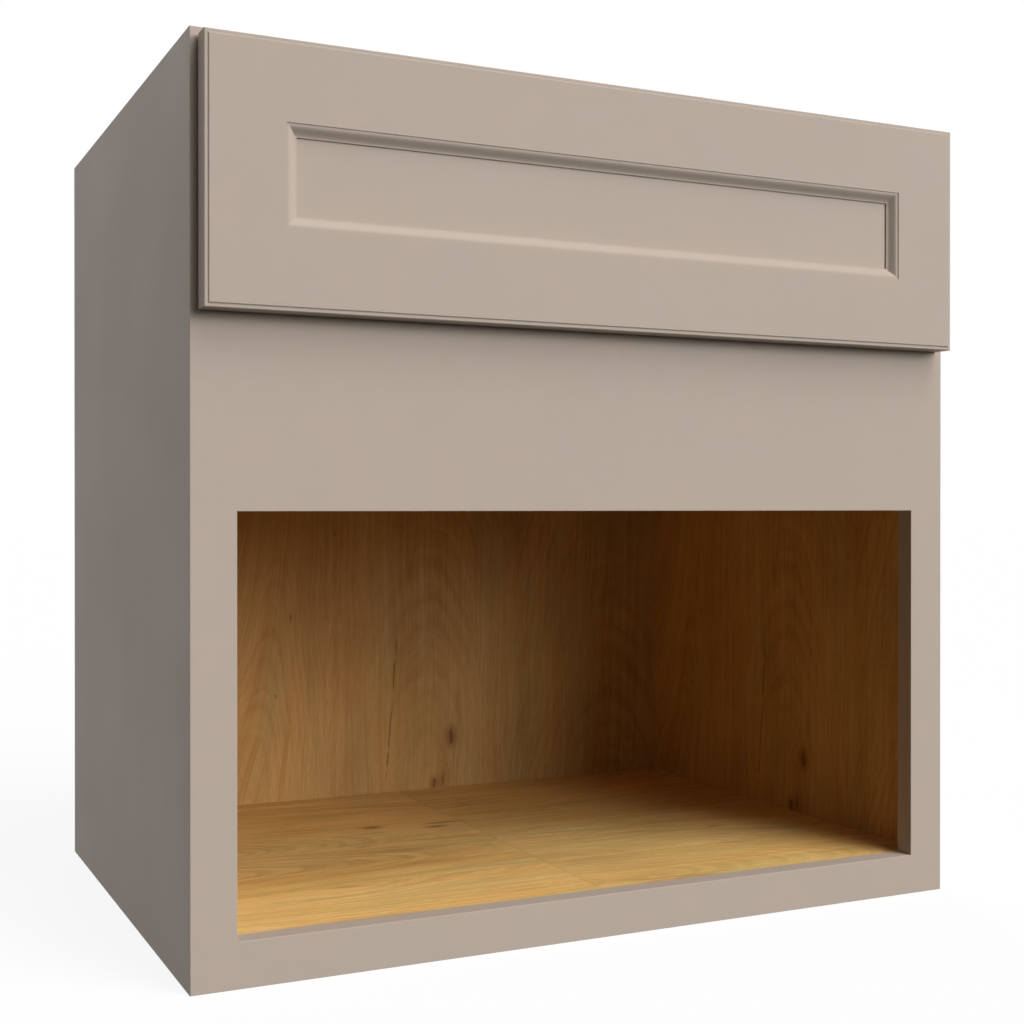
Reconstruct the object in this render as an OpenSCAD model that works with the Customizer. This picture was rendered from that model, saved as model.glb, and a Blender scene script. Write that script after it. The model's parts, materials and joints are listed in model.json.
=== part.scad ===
// Microwave base cabinet: a painted face frame with one wide overlay drawer above an open
// appliance bay lined with natural veneer. Millimetres, +Z up, and the front faces -Y.
// The origin lies on the floor, under the middle of the cabinet and its drawer front.

/* [Carcass] */
// Width across the outer faces of the sides
cabinet_w = 762; // [700:1:914]
// Height from the floor to the top edges
cabinet_h = 762; // [735:1:860]
// Depth from the face of the frame to the outside of the back
cabinet_d = 533.4; // [510:1:610]
// Thickness of the two sides
side_t = 12.7; // [12:0.1:19]
// Thickness of the bay's floor
deck_t = 12.7; // [12:0.1:15]
// Thickness of the bay's ceiling
ceiling_t = 12.7; // [12:0.1:19]
// Thickness of the back
back_t = 12.7; // [12:0.1:19]
// Depth of the grooves, dadoes and rabbets that take the panels' edges
groove_depth = 6.35; // [4:0.05:8]
// Thickness of the tongues that enter the face frame
tongue_t = 6.35; // [4:0.05:8]
// Height of the rail along the top of the back
back_rail_h = 76.2; // [50:0.1:120]
// Thickness of that rail and of the cleat under the floor
back_rail_t = 19.05; // [16:0.05:25]

/* [Face frame] */
// Thickness of the frame's stiles and rails
frame_t = 19.05; // [18:0.05:22]
// Width of each stile
stile_w = 38.1; // [36:0.1:60]
// Height of the rail under the bay
bottom_rail_h = 38.1; // [38:0.1:90]
// Height of the bay's opening
bay_h = 342.9; // [300:0.1:380]
// Height of the plain rail between the bay and the drawer
mid_rail_h = 190.5; // [140:0.1:220]
// Height of the rail over the drawer
top_rail_h = 38.1; // [38:0.1:60]

/* [Drawer front] */
// How far the front laps over the frame on every side of the opening
overlay = 31.75; // [20:0.05:34]
// Thickness of the front's frame
front_t = 19.05; // [18:0.05:24]
// Gap that the bumpers hold between the front and the face frame
bumper_gap = 2.2; // [1:0.1:4]
// Width of the flat face of the front's stiles and rails
member_w = 66.2; // [45:0.1:80]
// Width of the moulding between that face and the panel
moulding_w = 10; // [8:0.1:16]
// Depth of the panel's face behind the frame's face
panel_recess = 7.6; // [6:0.1:11]
// Thickness of the flat panel
front_panel_t = 6.35; // [4:0.05:7]
// Width of the lip round the front's outer edge
edge_step_w = 2.9; // [1:0.1:8]
// Depth of that lip behind the face, and the width of the slope between them
edge_step_h = 1; // [0.5:0.1:8]

/* [Drawer box] */
// Gap between each side of the box and the frame's opening
box_side_gap = 5.15; // [4.6:0.05:8]
// Height of the box's lower edge over the opening's lower edge
box_bottom_gap = 14.3; // [14:0.1:20]
// Gap from the box's upper edge to the opening's upper edge
box_top_gap = 17.45; // [8:0.05:40]
// Thickness of the box's sides, front and back
box_wall_t = 15.875; // [12:0.025:19]
// Thickness of the box's bottom
box_bottom_t = 6.35; // [5:0.05:9]
// Height of the bottom's underside over the box's lower edge
bottom_recess = 12.7; // [12.4:0.1:16]
// Distance aimed at between the centres of neighbouring dovetails
tail_pitch = 30; // [24:1:45]

/* [Drawer slides] */
// Length of the fixed rails
slide_l = 450; // [400:10:450]
// Distance from the opening's side to the middle of the slide
slide_inset = 34.8; // [34.5:0.1:42]
// Thickness of the slides' sheet steel
sheet_t = 1.5; // [1.2:0.1:1.6]
// Width of the fixed and drawer channels
channel_w = 26; // [24:0.5:26]
// Width of the turned-in lips of those channels
lip_w = 3; // [2.5:0.1:3.5]
// Width of the middle member's web box
web_w = 14; // [10:0.5:14]
// Diameter of the rollers
roller_d = 2.4; // [2:0.1:2.6]

/* [Fasteners and fittings] */
// Length of the face frame's pocket screws
pocket_screw_l = 32; // [25:1:36]
// Diameter of the pocket screws' shanks
pocket_screw_d = 4; // [3.5:0.1:4.5]
// Diameter of the pockets
pocket_d = 9.5; // [9:0.1:10.4]
// Length of each corner brace's legs
brace_leg = 76; // [70:1:100]
// Height of the corner braces
brace_h = 19; // [16:1:25]
// Diameter of the worktop screw's hole in each corner brace
worktop_hole_d = 6; // [4.5:0.1:8]
// Distance of that hole from both faces of its corner
worktop_hole_inset = 27; // [22:1:30]
// Diameter of the bumpers
bumper_d = 9; // [6:0.5:12]

/* [Hidden] */
$fn = 48;

// Finishes
paint = [0.70, 0.65, 0.60];
veneer = [0.80, 0.64, 0.42];
maple = [0.87, 0.76, 0.58];
zinc = [0.75, 0.77, 0.79];
grey_plastic = [0.45, 0.46, 0.48];
pale_plastic = [0.86, 0.86, 0.84];

// Clearances
glue_gap = 0.1; // round each tongue, panel edge and screw
running_gap = 0.3; // between pieces that pass each other
cut = 1; // how far a cutter runs past the face that it opens

// Faces of the carcass, with y counted from the face of the frame
half_w = cabinet_w / 2;
side_x = half_w - side_t; // inner face of a side
back_y = cabinet_d - back_t; // inner face of the back
back_rail_y = back_y - back_rail_t;
panel_x = side_x + groove_depth - glue_gap; // edge of a panel in its groove
front_proud = bumper_gap + front_t;
middle_y = (cabinet_d - front_proud) / 2;

// Levels of the openings
half_opening = half_w - stile_w;
bay_z = bottom_rail_h;
mid_z = bay_z + bay_h;
opening_z = mid_z + mid_rail_h;
top_z = cabinet_h - top_rail_h;
deck_z = bay_z - deck_t;
ceiling_top = mid_z + ceiling_t;

// Pocket screws: their slope, where their heads sit and the heights of their rows
pocket_slope = 15;
pocket_web = 12; // wood between the pocket's seat and the rail's end
pocket_reach = 70;
pocket_edge = 8; // from a narrow rail's lower edge
pocket_row = 11;
pocket_low = 27; // over the ceiling
pocket_mid = 5; // over the middle rail's middle
pocket_high = 25; // below its upper edge
narrow_rows = [pocket_edge, pocket_edge + pocket_row];
mid_rows = [ceiling_t + pocket_low, mid_rail_h / 2 + pocket_mid, mid_rail_h - pocket_high];
pocket_zs = [
    for (z = narrow_rows) z,
    for (z = mid_rows) mid_z + z,
    for (z = narrow_rows) top_z + z
];
pocket_head_d = 8;
pocket_head_h = 2.5;

// Small screws for braces, slides and clips, as diameter, head diameter and head height
small_screw_d = 3.5;
small_head_d = 7;
small_head_h = 2.2;
drive_w = 2.4; // square recess in every head
drive_depth = 1.4;

// Screws through the back
back_screw_l = 28;
back_screw_d = 4;
back_head_d = 8;
back_screw_pitch = 150;
back_screw_zs = [deck_z / 2, cabinet_h - back_rail_h / 2 - 6];

// Corner braces
brace_plate_t = 3;
brace_boss_d = 15;
brace_rib_rise = 3; // of the diagonal rib's lower edge over the legs' edges
brace_screw_l = 13;
brace_screw_z = 8; // below the top
brace_screw_steps = [18, 58]; // from the corner

// Drawer front
front_half_w = half_opening + overlay;
front_z0 = opening_z - overlay;
front_z1 = top_z + overlay;
moulded_w = member_w + moulding_w; // from the outer edge to the panel
panel_v = front_t - panel_recess; // the panel's face over the front's back
front_groove = 9;
edge_ease = 0.6;
quirk_h = 0.8; // little step where the moulding starts
shelf_w = 1.4; // flat ledge after that step
toe_h = 1.4; // little step down to the panel
ogee_steps = 12;
bumper_inset = 14;

// Drawer box
box_half_w = half_opening - box_side_gap;
box_in_x = box_half_w - box_wall_t;
box_y0 = -bumper_gap;
box_over_slide = 7.2;
box_l = slide_l + box_over_slide;
box_y1 = box_y0 + box_l;
box_z0 = opening_z + box_bottom_gap;
box_z1 = top_z - box_top_gap;
box_h = box_z1 - box_z0;
box_in_y0 = box_y0 + box_wall_t;
box_in_y1 = box_y1 - box_wall_t;
bottom_z = box_z0 + bottom_recess;
box_groove = 6.35;
tail_count = round(box_h / tail_pitch);
tail_step = box_h / tail_count;
pin_w = 9; // width of a pin at the face of the box's front
tail_flare = box_wall_t * tan(9);
fixing_inset = 31; // from the opening's side
fixing_low = 24.3; // over the lower mitre at the screws
fixing_high = 13.1; // under the upper mitre there
fixing_xs = [half_opening - fixing_inset];
fixing_zs = [opening_z + fixing_inset + fixing_low, top_z - fixing_inset - fixing_high];
fixing_screw_l = 28;
fixing_screw_d = 4;
fixing_head_d = 10;

// Slides, with dx counted from the middle of each slide
slide_x = half_opening - slide_inset;
rail_y0 = 3;
rail_y1 = rail_y0 + slide_l;
rail_z = opening_z + 1.5;
rail_flange_h = 22;
channel_r = channel_w / 2;
channel_in = channel_r - sheet_t;
roller_space = roller_d + 2 * running_gap;
flange_r = channel_in - 1;
web_r = web_w / 2;
catch_gap = 1; // between a lip and the flange that it holds
middle_z0 = rail_z + sheet_t + roller_space;
runner_z1 = bottom_z;
middle_z1 = runner_z1 - sheet_t - roller_space;
slide_screw_l = 18;
slide_screw_y = 8; // behind the frame's face
slide_screw_z = rail_z + 15;
rail_lip_z = middle_z0 + sheet_t + catch_gap;
runner_lip_z = middle_z1 - 2 * sheet_t - catch_gap;

// Travel of the drawer, and the stretches that its members and cages keep along it
travel = slide_l - 10;
cage_margin = 5;
middle_y0 = rail_y0 + 17;
middle_y1 = rail_y1 - 13;
runner_y0 = box_in_y0 + running_gap;
runner_y1 = box_y1;
lower_cage_y0 = rail_y0 + travel / 4 + cage_margin;
lower_cage_y1 = middle_y1 - travel / 4 - cage_margin;
upper_cage_y0 = middle_y0 + travel / 4 + cage_margin;
upper_cage_y1 = runner_y1 - travel / 4 - cage_margin;
cage_t = 1;
cage_r = 8.2;
roller_r = 6.5;
roller_pitch = 24;
window_gap = 0.4;

// Rear hook of the drawer runner
hook_w = 12;
hook_h = 15;
hook_pin_d = 5;
hook_pin_l = 9;
hook_hole_d = 6;
hook_z = bottom_z + 10.5;
notch_gap = 2;

// Soft-close units, beside the channels on the fixed rails
soft_x0 = slide_x + channel_r + 0.9;
soft_x1 = half_opening - sheet_t - 1;
soft_wall = 1.5;
soft_l = 170;
soft_set_back = 33;
soft_y1 = rail_y1 - soft_set_back;
soft_y0 = soft_y1 - soft_l;
soft_z0 = rail_z + sheet_t;
soft_z1 = box_z0 - 1.2;
catch_l = 30;
catch_set_back = 90;
catch_y1 = soft_y1 - catch_set_back;
catch_y0 = catch_y1 - catch_l;
catch_travel = 45;
prong_t = 4;
prong_room = 6;
prong_h = 2.3;
tab_w = 4;
damper_d = 7;
damper_l = 76;
damper_rod_d = 2;
rod_gap = 0.1;
damper_x = (soft_x0 + soft_x1) / 2;
damper_z = soft_z0 + soft_wall + damper_d / 2;

// Rear brackets
bracket_t = 3;
bracket_lap = 25; // length under the rail's end
bracket_screw_l = 13;
bracket_screw_xs = [-5, 11]; // from the middle of the slide
bracket_screw_z = 14; // over the fixed rail's underside
bracket_h = 34;
bracket_spread = 6; // past the channel's outer side
bracket_foot = 4; // of the screwed plate below the floor
rib_low = 8;
rib_slope = 12;
plug_l = 9;

// Front locking clips and their levers
clip_w = 40;
clip_l = 46;
clip_plate_t = 3;
clip_x1 = slide_x - channel_r - 0.6;
clip_x0 = clip_x1 - clip_w;
clip_z0 = box_z0 + 0.7;
clip_y0 = box_in_y0;
pivot_d = 5;
pivot_gap = 0.3;
pivot_inset = 22;
pivot_set_back = 28;
pivot_x = clip_x1 - pivot_inset;
pivot_y = clip_y0 + pivot_set_back;
lever_t = 4;
lever_ring_d = 11;
lever_arm = 34;
lever_arm_w = 6;
lever_nose = 15;
lever_z = clip_z0 + 1.2;
clip_screw_l = 14;
clip_screw_inset = 7;
clip_screw_z = box_z0 + 5.5;
clip_rib_rise = 4;

// ---- Shared shapes ----

// Carries a piece from the face of the frame to the middle of the cabinet's depth
module placed() {
    translate([0, -middle_y, 0]) children();
}

// Draws the right-hand piece for 1 and its mirror image for -1
module handed(hand) {
    mirror([hand < 0 ? 1 : 0, 0, 0]) children();
}

// A block between its lowest and its highest corner
module block(low, high) {
    translate(low) cube(high - low);
}

// A pan-head screw along +Z, with the underside of its head at the origin
module screw(length, shank_d, head_d, head_h) {
    difference() {
        union() {
            translate([0, 0, -head_h]) cylinder(h = head_h, d = head_d);
            cylinder(h = length - shank_d, d = shank_d);
            translate([0, 0, length - shank_d]) cylinder(h = shank_d, d1 = shank_d, d2 = 0.8);
        }
        translate([-drive_w / 2, -drive_w / 2, -head_h - cut])
            cube([drive_w, drive_w, drive_depth + cut]);
    }
}

// A countersunk screw along +Z, with the top of its head at the origin
module sunk_screw(length, shank_d, head_d) {
    difference() {
        union() {
            cylinder(h = head_d / 2, d1 = head_d, d2 = 0);
            cylinder(h = length - shank_d, d = shank_d);
            translate([0, 0, length - shank_d]) cylinder(h = shank_d, d1 = shank_d, d2 = 0.8);
        }
        translate([-drive_w / 2, -drive_w / 2, -cut]) cube([drive_w, drive_w, drive_depth + cut]);
    }
}

// The hole that a screw of this length and diameter needs, from its head's underside
module screw_hole(length, shank_d) {
    translate([0, 0, -cut]) cylinder(h = length + cut + glue_gap, d = shank_d + 2 * glue_gap);
}

// Turns +Z towards +X, +Y or -Y
module along_x() {
    rotate([0, 90, 0]) children();
}
module along_y() {
    rotate([-90, 0, 0]) children();
}
module against_y() {
    rotate([90, 0, 0]) children();
}

// Lays a flat shape drawn in y and z, and thickens it from x0 to x1
module from_side(x0, x1) {
    translate([x0, 0, 0]) rotate([90, 0, 90]) linear_extrude(x1 - x0) children();
}

// ---- Carcass ----

// A side, with a tongue for its stile, dadoes for the floor and ceiling, and a rear rabbet
module side_panel(hand) {
    color(paint) placed() handed(hand) difference() {
        union() {
            block([side_x, frame_t, 0], [half_w, cabinet_d, cabinet_h]);
            block([side_x, frame_t - groove_depth, 0],
                [side_x + tongue_t, frame_t + cut, cabinet_h]);
        }
        for (z = [[deck_z, bay_z], [mid_z, ceiling_top]])
            block([side_x - cut, frame_t - glue_gap, z[0] - glue_gap],
                [side_x + groove_depth, back_y, z[1] + glue_gap]);
        block([side_x - cut, back_y, -cut], [side_x + groove_depth, cabinet_d + cut, cabinet_h + cut]);
        brace_side_screws() screw_hole(brace_screw_l, small_screw_d);
    }
}

module left_side() { side_panel(-1); }
module right_side() { side_panel(1); }

// A board across the cabinet with a tongue along its front edge
module lined_board(z0, z1, tongue_z) {
    color(veneer) placed() union() {
        block([-panel_x, frame_t, z0], [panel_x, back_y, z1]);
        block([-half_opening + glue_gap, frame_t - groove_depth, tongue_z],
            [half_opening - glue_gap, frame_t + cut, tongue_z + tongue_t]);
    }
}

module bottom_deck() { lined_board(deck_z, bay_z, deck_z); }
module bay_ceiling() { lined_board(mid_z, ceiling_top, ceiling_top - tongue_t); }

// Places a screw at each point where the back is fixed to its rail and its cleat
module back_screw_places() {
    for (z = back_screw_zs)
        for (i = [-2 : 2])
            translate([i * back_screw_pitch, cabinet_d, z]) against_y() children();
}

// The hole and countersink for one of those screws
module back_screw_hole() {
    translate([0, 0, -cut]) cylinder(h = back_screw_l + cut + glue_gap, d = back_screw_d + 2 * glue_gap);
    translate([0, 0, -glue_gap])
        cylinder(h = back_head_d / 2 + glue_gap, d1 = back_head_d + 4 * glue_gap, d2 = 0);
    translate([0, 0, -cut]) cylinder(h = cut, d = back_head_d + 4 * glue_gap);
}

module back_panel() {
    color(veneer) placed() difference() {
        block([-panel_x, back_y, 0], [panel_x, cabinet_d, cabinet_h]);
        back_screw_places() back_screw_hole();
        for (hand = [-1, 1])
            bracket_screw_places(hand) screw_hole(bracket_screw_l, small_screw_d);
    }
}

module top_back_rail() {
    color(maple) placed() difference() {
        block([-side_x, back_rail_y, cabinet_h - back_rail_h], [side_x, back_y, cabinet_h]);
        back_screw_places() back_screw_hole();
        for (hand = [-1, 1])
            brace_place(hand, true) brace_face_screws() screw_hole(brace_screw_l, small_screw_d);
    }
}

module bottom_back_cleat() {
    color(maple) placed() difference() {
        block([-side_x, back_rail_y, 0], [side_x, back_y, deck_z]);
        back_screw_places() back_screw_hole();
    }
}

module back_panel_screws() {
    color(zinc) placed() back_screw_places() sunk_screw(back_screw_l, back_screw_d, back_head_d);
}

// ---- Face frame ----

// Places something along each pocket screw, with the rail's end at z = 0 and +Z into the stile
module pocket_places(hand) {
    handed(hand) for (z = pocket_zs)
        translate([half_opening, frame_t / 2, z]) rotate([0, 0, -pocket_slope]) along_x() children();
}

// The pocket and pilot hole for one screw
module pocket_cut() {
    translate([0, 0, -pocket_web - pocket_reach]) cylinder(h = pocket_reach, d = pocket_d);
    translate([0, 0, -pocket_web]) screw_hole(pocket_screw_l, pocket_screw_d);
}

// A stile, grooved behind for the side's tongue
module stile(hand) {
    color(paint) placed() difference() {
        handed(hand) difference() {
            block([half_opening, 0, 0], [half_w, frame_t, cabinet_h]);
            block([side_x - glue_gap, frame_t - groove_depth - glue_gap, -cut],
                [side_x + tongue_t + glue_gap, frame_t + cut, cabinet_h + cut]);
            slide_front_screw_place() screw_hole(slide_screw_l, small_screw_d);
            brace_place(1, false) brace_face_screws() screw_hole(brace_screw_l, small_screw_d);
        }
        pocket_places(hand) pocket_cut();
    }
}

module left_stile() { stile(-1); }
module right_stile() { stile(1); }

// A rail between the stiles, with its pockets
module frame_rail(z0, z1) {
    difference() {
        block([-half_opening, 0, z0], [half_opening, frame_t, z1]);
        for (hand = [-1, 1])
            pocket_places(hand) pocket_cut();
    }
}

// The groove behind a rail for a board's tongue
module rail_groove(z) {
    block([-half_opening - cut, frame_t - groove_depth - glue_gap, z - glue_gap],
        [half_opening + cut, frame_t + cut, z + tongue_t + glue_gap]);
}

module top_rail() {
    color(paint) placed() difference() {
        frame_rail(top_z, cabinet_h);
        for (hand = [-1, 1])
            brace_place(hand, false) brace_face_screws() screw_hole(brace_screw_l, small_screw_d);
    }
}

module mid_rail() {
    color(paint) placed() difference() {
        frame_rail(mid_z, opening_z);
        rail_groove(ceiling_top - tongue_t);
    }
}

module bottom_rail() {
    color(paint) placed() difference() {
        frame_rail(0, bay_z);
        rail_groove(deck_z);
    }
}

module frame_pocket_screws() {
    color(zinc) placed() for (hand = [-1, 1])
        pocket_places(hand) translate([0, 0, -pocket_web])
            screw(pocket_screw_l, pocket_screw_d, pocket_head_d, pocket_head_h);
}

// ---- Corner braces ----

// Carries a brace drawn with its corner at the origin and its legs along +X and +Y
module brace_place(hand, rear) {
    handed(hand) translate([side_x, rear ? back_rail_y : frame_t, cabinet_h])
        mirror([1, 0, 0]) mirror([0, rear ? 1 : 0, 0]) children();
}

// Screws through the leg along +X, into the frame or the back rail
module brace_face_screws() {
    for (x = brace_screw_steps)
        translate([x, brace_plate_t, -brace_screw_z]) against_y() children();
}

// Screws through the leg along +Y, into the side
module brace_leg_screws() {
    for (y = brace_screw_steps)
        translate([brace_plate_t, y, -brace_screw_z]) rotate([0, -90, 0]) children();
}

// Those screws' places in the right-hand side
module brace_side_screws() {
    for (rear = [false, true])
        brace_place(1, rear) brace_leg_screws() children();
}

module corner_brace(hand, rear) {
    color(pale_plastic) placed() brace_place(hand, rear) difference() {
        union() {
            translate([0, 0, -brace_plate_t]) linear_extrude(brace_plate_t)
                polygon([[0, 0], [brace_leg, 0], [0, brace_leg]]);
            block([0, 0, -brace_h], [brace_leg, brace_plate_t, 0]);
            block([0, 0, -brace_h], [brace_plate_t, brace_leg, 0]);
            translate([worktop_hole_inset, worktop_hole_inset, -brace_h])
                cylinder(h = brace_h, d = brace_boss_d);
            rotate([0, 0, 45])
                block([brace_plate_t, -brace_plate_t / 2, -brace_h + brace_rib_rise],
                    [worktop_hole_inset * sqrt(2) - brace_boss_d / 2 + cut, brace_plate_t / 2, 0]);
        }
        translate([worktop_hole_inset, worktop_hole_inset, -brace_h - cut])
            cylinder(h = brace_h + 2 * cut, d = worktop_hole_d);
        brace_face_screws() screw_hole(brace_screw_l, small_screw_d);
        brace_leg_screws() screw_hole(brace_screw_l, small_screw_d);
    }
}

module front_left_brace() { corner_brace(-1, false); }
module front_right_brace() { corner_brace(1, false); }
module rear_left_brace() { corner_brace(-1, true); }
module rear_right_brace() { corner_brace(1, true); }

module corner_brace_screws() {
    color(zinc) placed() for (hand = [-1, 1], rear = [false, true])
        brace_place(hand, rear) {
            brace_face_screws() screw(brace_screw_l, small_screw_d, small_head_d, small_head_h);
            brace_leg_screws() screw(brace_screw_l, small_screw_d, small_head_d, small_head_h);
        }
}

// ---- Slides: fixed pieces ----

// The screw that holds the front of the right-hand rail to its stile
module slide_front_screw_place() {
    translate([half_opening - sheet_t, slide_screw_y, slide_screw_z]) along_x() children();
}

// The section of a fixed rail: side flange, base, and a channel with turned-in lips
module rail_section() {
    flange_x = slide_inset; // opening's side, from the slide's middle
    union() {
        translate([flange_x - sheet_t, 0]) square([sheet_t, rail_flange_h]);
        translate([-channel_r, 0]) square([channel_r + flange_x, sheet_t]);
        for (m = [0, 1]) mirror([m, 0]) {
            translate([channel_in, 0]) square([sheet_t, rail_lip_z + sheet_t - rail_z]);
            translate([channel_r - sheet_t - lip_w, rail_lip_z - rail_z])
                square([lip_w + sheet_t, sheet_t]);
        }
    }
}

// Runs a section drawn in x and z, centred on the right-hand slide, from y0 to y1
module slide_run(y0, y1, z) {
    translate([slide_x, y1, z]) rotate([90, 0, 0]) linear_extrude(y1 - y0) children();
}

module slide_rail(hand) {
    color(zinc) placed() handed(hand) difference() {
        slide_run(rail_y0, rail_y1, rail_z) rail_section();
        slide_front_screw_place() screw_hole(slide_screw_l, small_screw_d);
    }
}

module left_slide_rail() { slide_rail(-1); }
module right_slide_rail() { slide_rail(1); }

// Screws that hold a rear bracket to the back
module bracket_screw_places(hand) {
    handed(hand) for (x = bracket_screw_xs)
        translate([slide_x + x, back_y - bracket_t, rail_z + bracket_screw_z]) along_y() children();
}

// A rear bracket: a floor under the rail's end, a plug in its channel, ribs and a screwed plate
module rear_bracket(hand) {
    low_z = rail_z - bracket_t;
    x0 = slide_x - channel_r;
    x1 = slide_x + channel_r + bracket_spread;
    color(pale_plastic) placed() handed(hand) difference() {
        union() {
            block([x0, rail_y1 - bracket_lap, low_z], [x1, back_y, rail_z]);
            block([x0, back_y - bracket_t, low_z - bracket_foot], [x1, back_y, low_z + bracket_h]);
            for (x = [x0, x1 - bracket_t])
                from_side(x, x + bracket_t) polygon([
                    [rail_y1 + running_gap, rail_z], [rail_y1 + running_gap, rail_z + rib_low],
                    [back_y - rib_slope, rail_z + rib_low], [back_y, low_z + bracket_h],
                    [back_y, rail_z]
                ]);
            block([slide_x - web_r, rail_y1 - plug_l, rail_z + sheet_t + glue_gap],
                [slide_x + web_r, rail_y1 + bracket_t, rail_lip_z]);
            block([slide_x - web_r, rail_y1 + running_gap, rail_z - glue_gap],
                [slide_x + web_r, rail_y1 + bracket_t, rail_lip_z]);
        }
        bracket_screw_places(1) screw_hole(bracket_screw_l, small_screw_d);
    }
}

module left_rear_bracket() { rear_bracket(-1); }
module right_rear_bracket() { rear_bracket(1); }

module slide_fixing_screws() {
    color(zinc) placed() for (hand = [-1, 1]) {
        handed(hand) slide_front_screw_place()
            screw(slide_screw_l, small_screw_d, small_head_d, small_head_h);
        bracket_screw_places(hand)
            screw(bracket_screw_l, small_screw_d, small_head_d, small_head_h);
    }
}

// ---- Soft-close units ----

// An open trough with a slot in its inner wall for the catch's prongs
module soft_close_housing(hand) {
    slot_z = rail_lip_z + sheet_t;
    color(grey_plastic) placed() handed(hand) difference() {
        block([soft_x0, soft_y0, soft_z0], [soft_x1, soft_y1, soft_z1]);
        block([soft_x0 + soft_wall, soft_y0 + soft_wall, soft_z0 + soft_wall],
            [soft_x1 - soft_wall, soft_y1 - soft_wall, soft_z1 + cut]);
        block([soft_x0 - cut, catch_y0 - catch_travel - 2, slot_z],
            [soft_x0 + soft_wall + cut, catch_y1 + 2, soft_z1 + cut]);
    }
}

module left_soft_close_housing() { soft_close_housing(-1); }
module right_soft_close_housing() { soft_close_housing(1); }

// The carriage that slides in the trough, with two prongs beside the drawer runner's tab
module soft_close_catch(hand) {
    catch_z1 = soft_z1 - running_gap;
    catch_y = (catch_y0 + catch_y1) / 2;
    color(pale_plastic) placed() handed(hand) difference() {
        union() {
            block([soft_x0 + soft_wall + running_gap, catch_y0, soft_z0 + soft_wall + running_gap],
                [soft_x1 - soft_wall - running_gap, catch_y1, catch_z1]);
            for (y = [catch_y - prong_room / 2 - prong_t, catch_y + prong_room / 2])
                block([soft_x0 - running_gap, y, catch_z1 - prong_h],
                    [soft_x0 + soft_wall + cut, y + prong_t, catch_z1]);
        }
        translate([damper_x, catch_y1 - 8, damper_z]) along_y()
            cylinder(h = 8 + cut, d = damper_rod_d + 2 * glue_gap);
    }
}

module left_soft_close_catch() { soft_close_catch(-1); }
module right_soft_close_catch() { soft_close_catch(1); }

// The damper's cylinder, against the rear wall of the trough
module damper(hand) {
    damper_y1 = soft_y1 - soft_wall;
    color(zinc) placed() handed(hand) translate([damper_x, damper_y1 - damper_l, damper_z])
        along_y() difference() {
            cylinder(h = damper_l, d = damper_d);
            translate([0, 0, -cut]) cylinder(h = damper_l - 4, d = damper_rod_d + 2 * rod_gap);
        }
}

module left_damper() { damper(-1); }
module right_damper() { damper(1); }

// The rod from the carriage into the damper
module damper_rod(hand) {
    color(zinc) placed() handed(hand) translate([damper_x, catch_y1 - 8, damper_z])
        along_y() cylinder(h = damper_l, d = damper_rod_d);
}

module left_damper_rod() { damper_rod(-1); }
module right_damper_rod() { damper_rod(1); }

// ---- Slides: moving pieces ----

// A middle member: a web box between two flanges
module slide_middle(hand) {
    height = middle_z1 - middle_z0;
    color(zinc) placed() handed(hand) slide_run(middle_y0, middle_y1, middle_z0) difference() {
        union() {
            translate([-flange_r, 0]) square([2 * flange_r, sheet_t]);
            translate([-flange_r, height - sheet_t]) square([2 * flange_r, sheet_t]);
            translate([-web_r, 0]) square([2 * web_r, height]);
        }
        translate([-web_r + sheet_t, sheet_t])
            square([2 * (web_r - sheet_t), height - 2 * sheet_t]);
    }
}

module left_slide_middle() { slide_middle(-1); }
module right_slide_middle() { slide_middle(1); }

// A cage from y0 to y1 with a row of rollers, centred on height z
module roller_cage(hand, y0, y1, z) {
    rows = floor((y1 - y0 - 8) / roller_pitch);
    first_y = (y0 + y1) / 2 - (rows - 1) * roller_pitch / 2;
    window = [2 * (roller_r + window_gap), roller_d + 2 * window_gap, cage_t + 2 * cut];
    placed() handed(hand) {
        color(grey_plastic) difference() {
            block([slide_x - cage_r, y0, z - cage_t / 2], [slide_x + cage_r, y1, z + cage_t / 2]);
            for (i = [0 : rows - 1])
                translate([slide_x, first_y + i * roller_pitch, z]) cube(window, center = true);
        }
        color(zinc) for (i = [0 : rows - 1])
            translate([slide_x - roller_r, first_y + i * roller_pitch, z]) along_x()
                cylinder(h = 2 * roller_r, d = roller_d);
    }
}

module lower_rollers(hand) {
    roller_cage(hand, lower_cage_y0, lower_cage_y1, middle_z0 - roller_space / 2);
}
module upper_rollers(hand) {
    roller_cage(hand, upper_cage_y0, upper_cage_y1, middle_z1 + roller_space / 2);
}
module left_lower_rollers() { lower_rollers(-1); }
module right_lower_rollers() { lower_rollers(1); }
module left_upper_rollers() { upper_rollers(-1); }
module right_upper_rollers() { upper_rollers(1); }

// The section of a drawer runner: a plate under the box with legs and turned-in lips
module runner_section() {
    leg_h = runner_z1 - runner_lip_z;
    union() {
        translate([-channel_r, leg_h - sheet_t]) square([channel_w, sheet_t]);
        for (m = [0, 1]) mirror([m, 0]) {
            translate([channel_in, 0]) square([sheet_t, leg_h]);
            translate([channel_in - lip_w, 0]) square([lip_w + sheet_t, sheet_t]);
        }
    }
}

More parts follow.
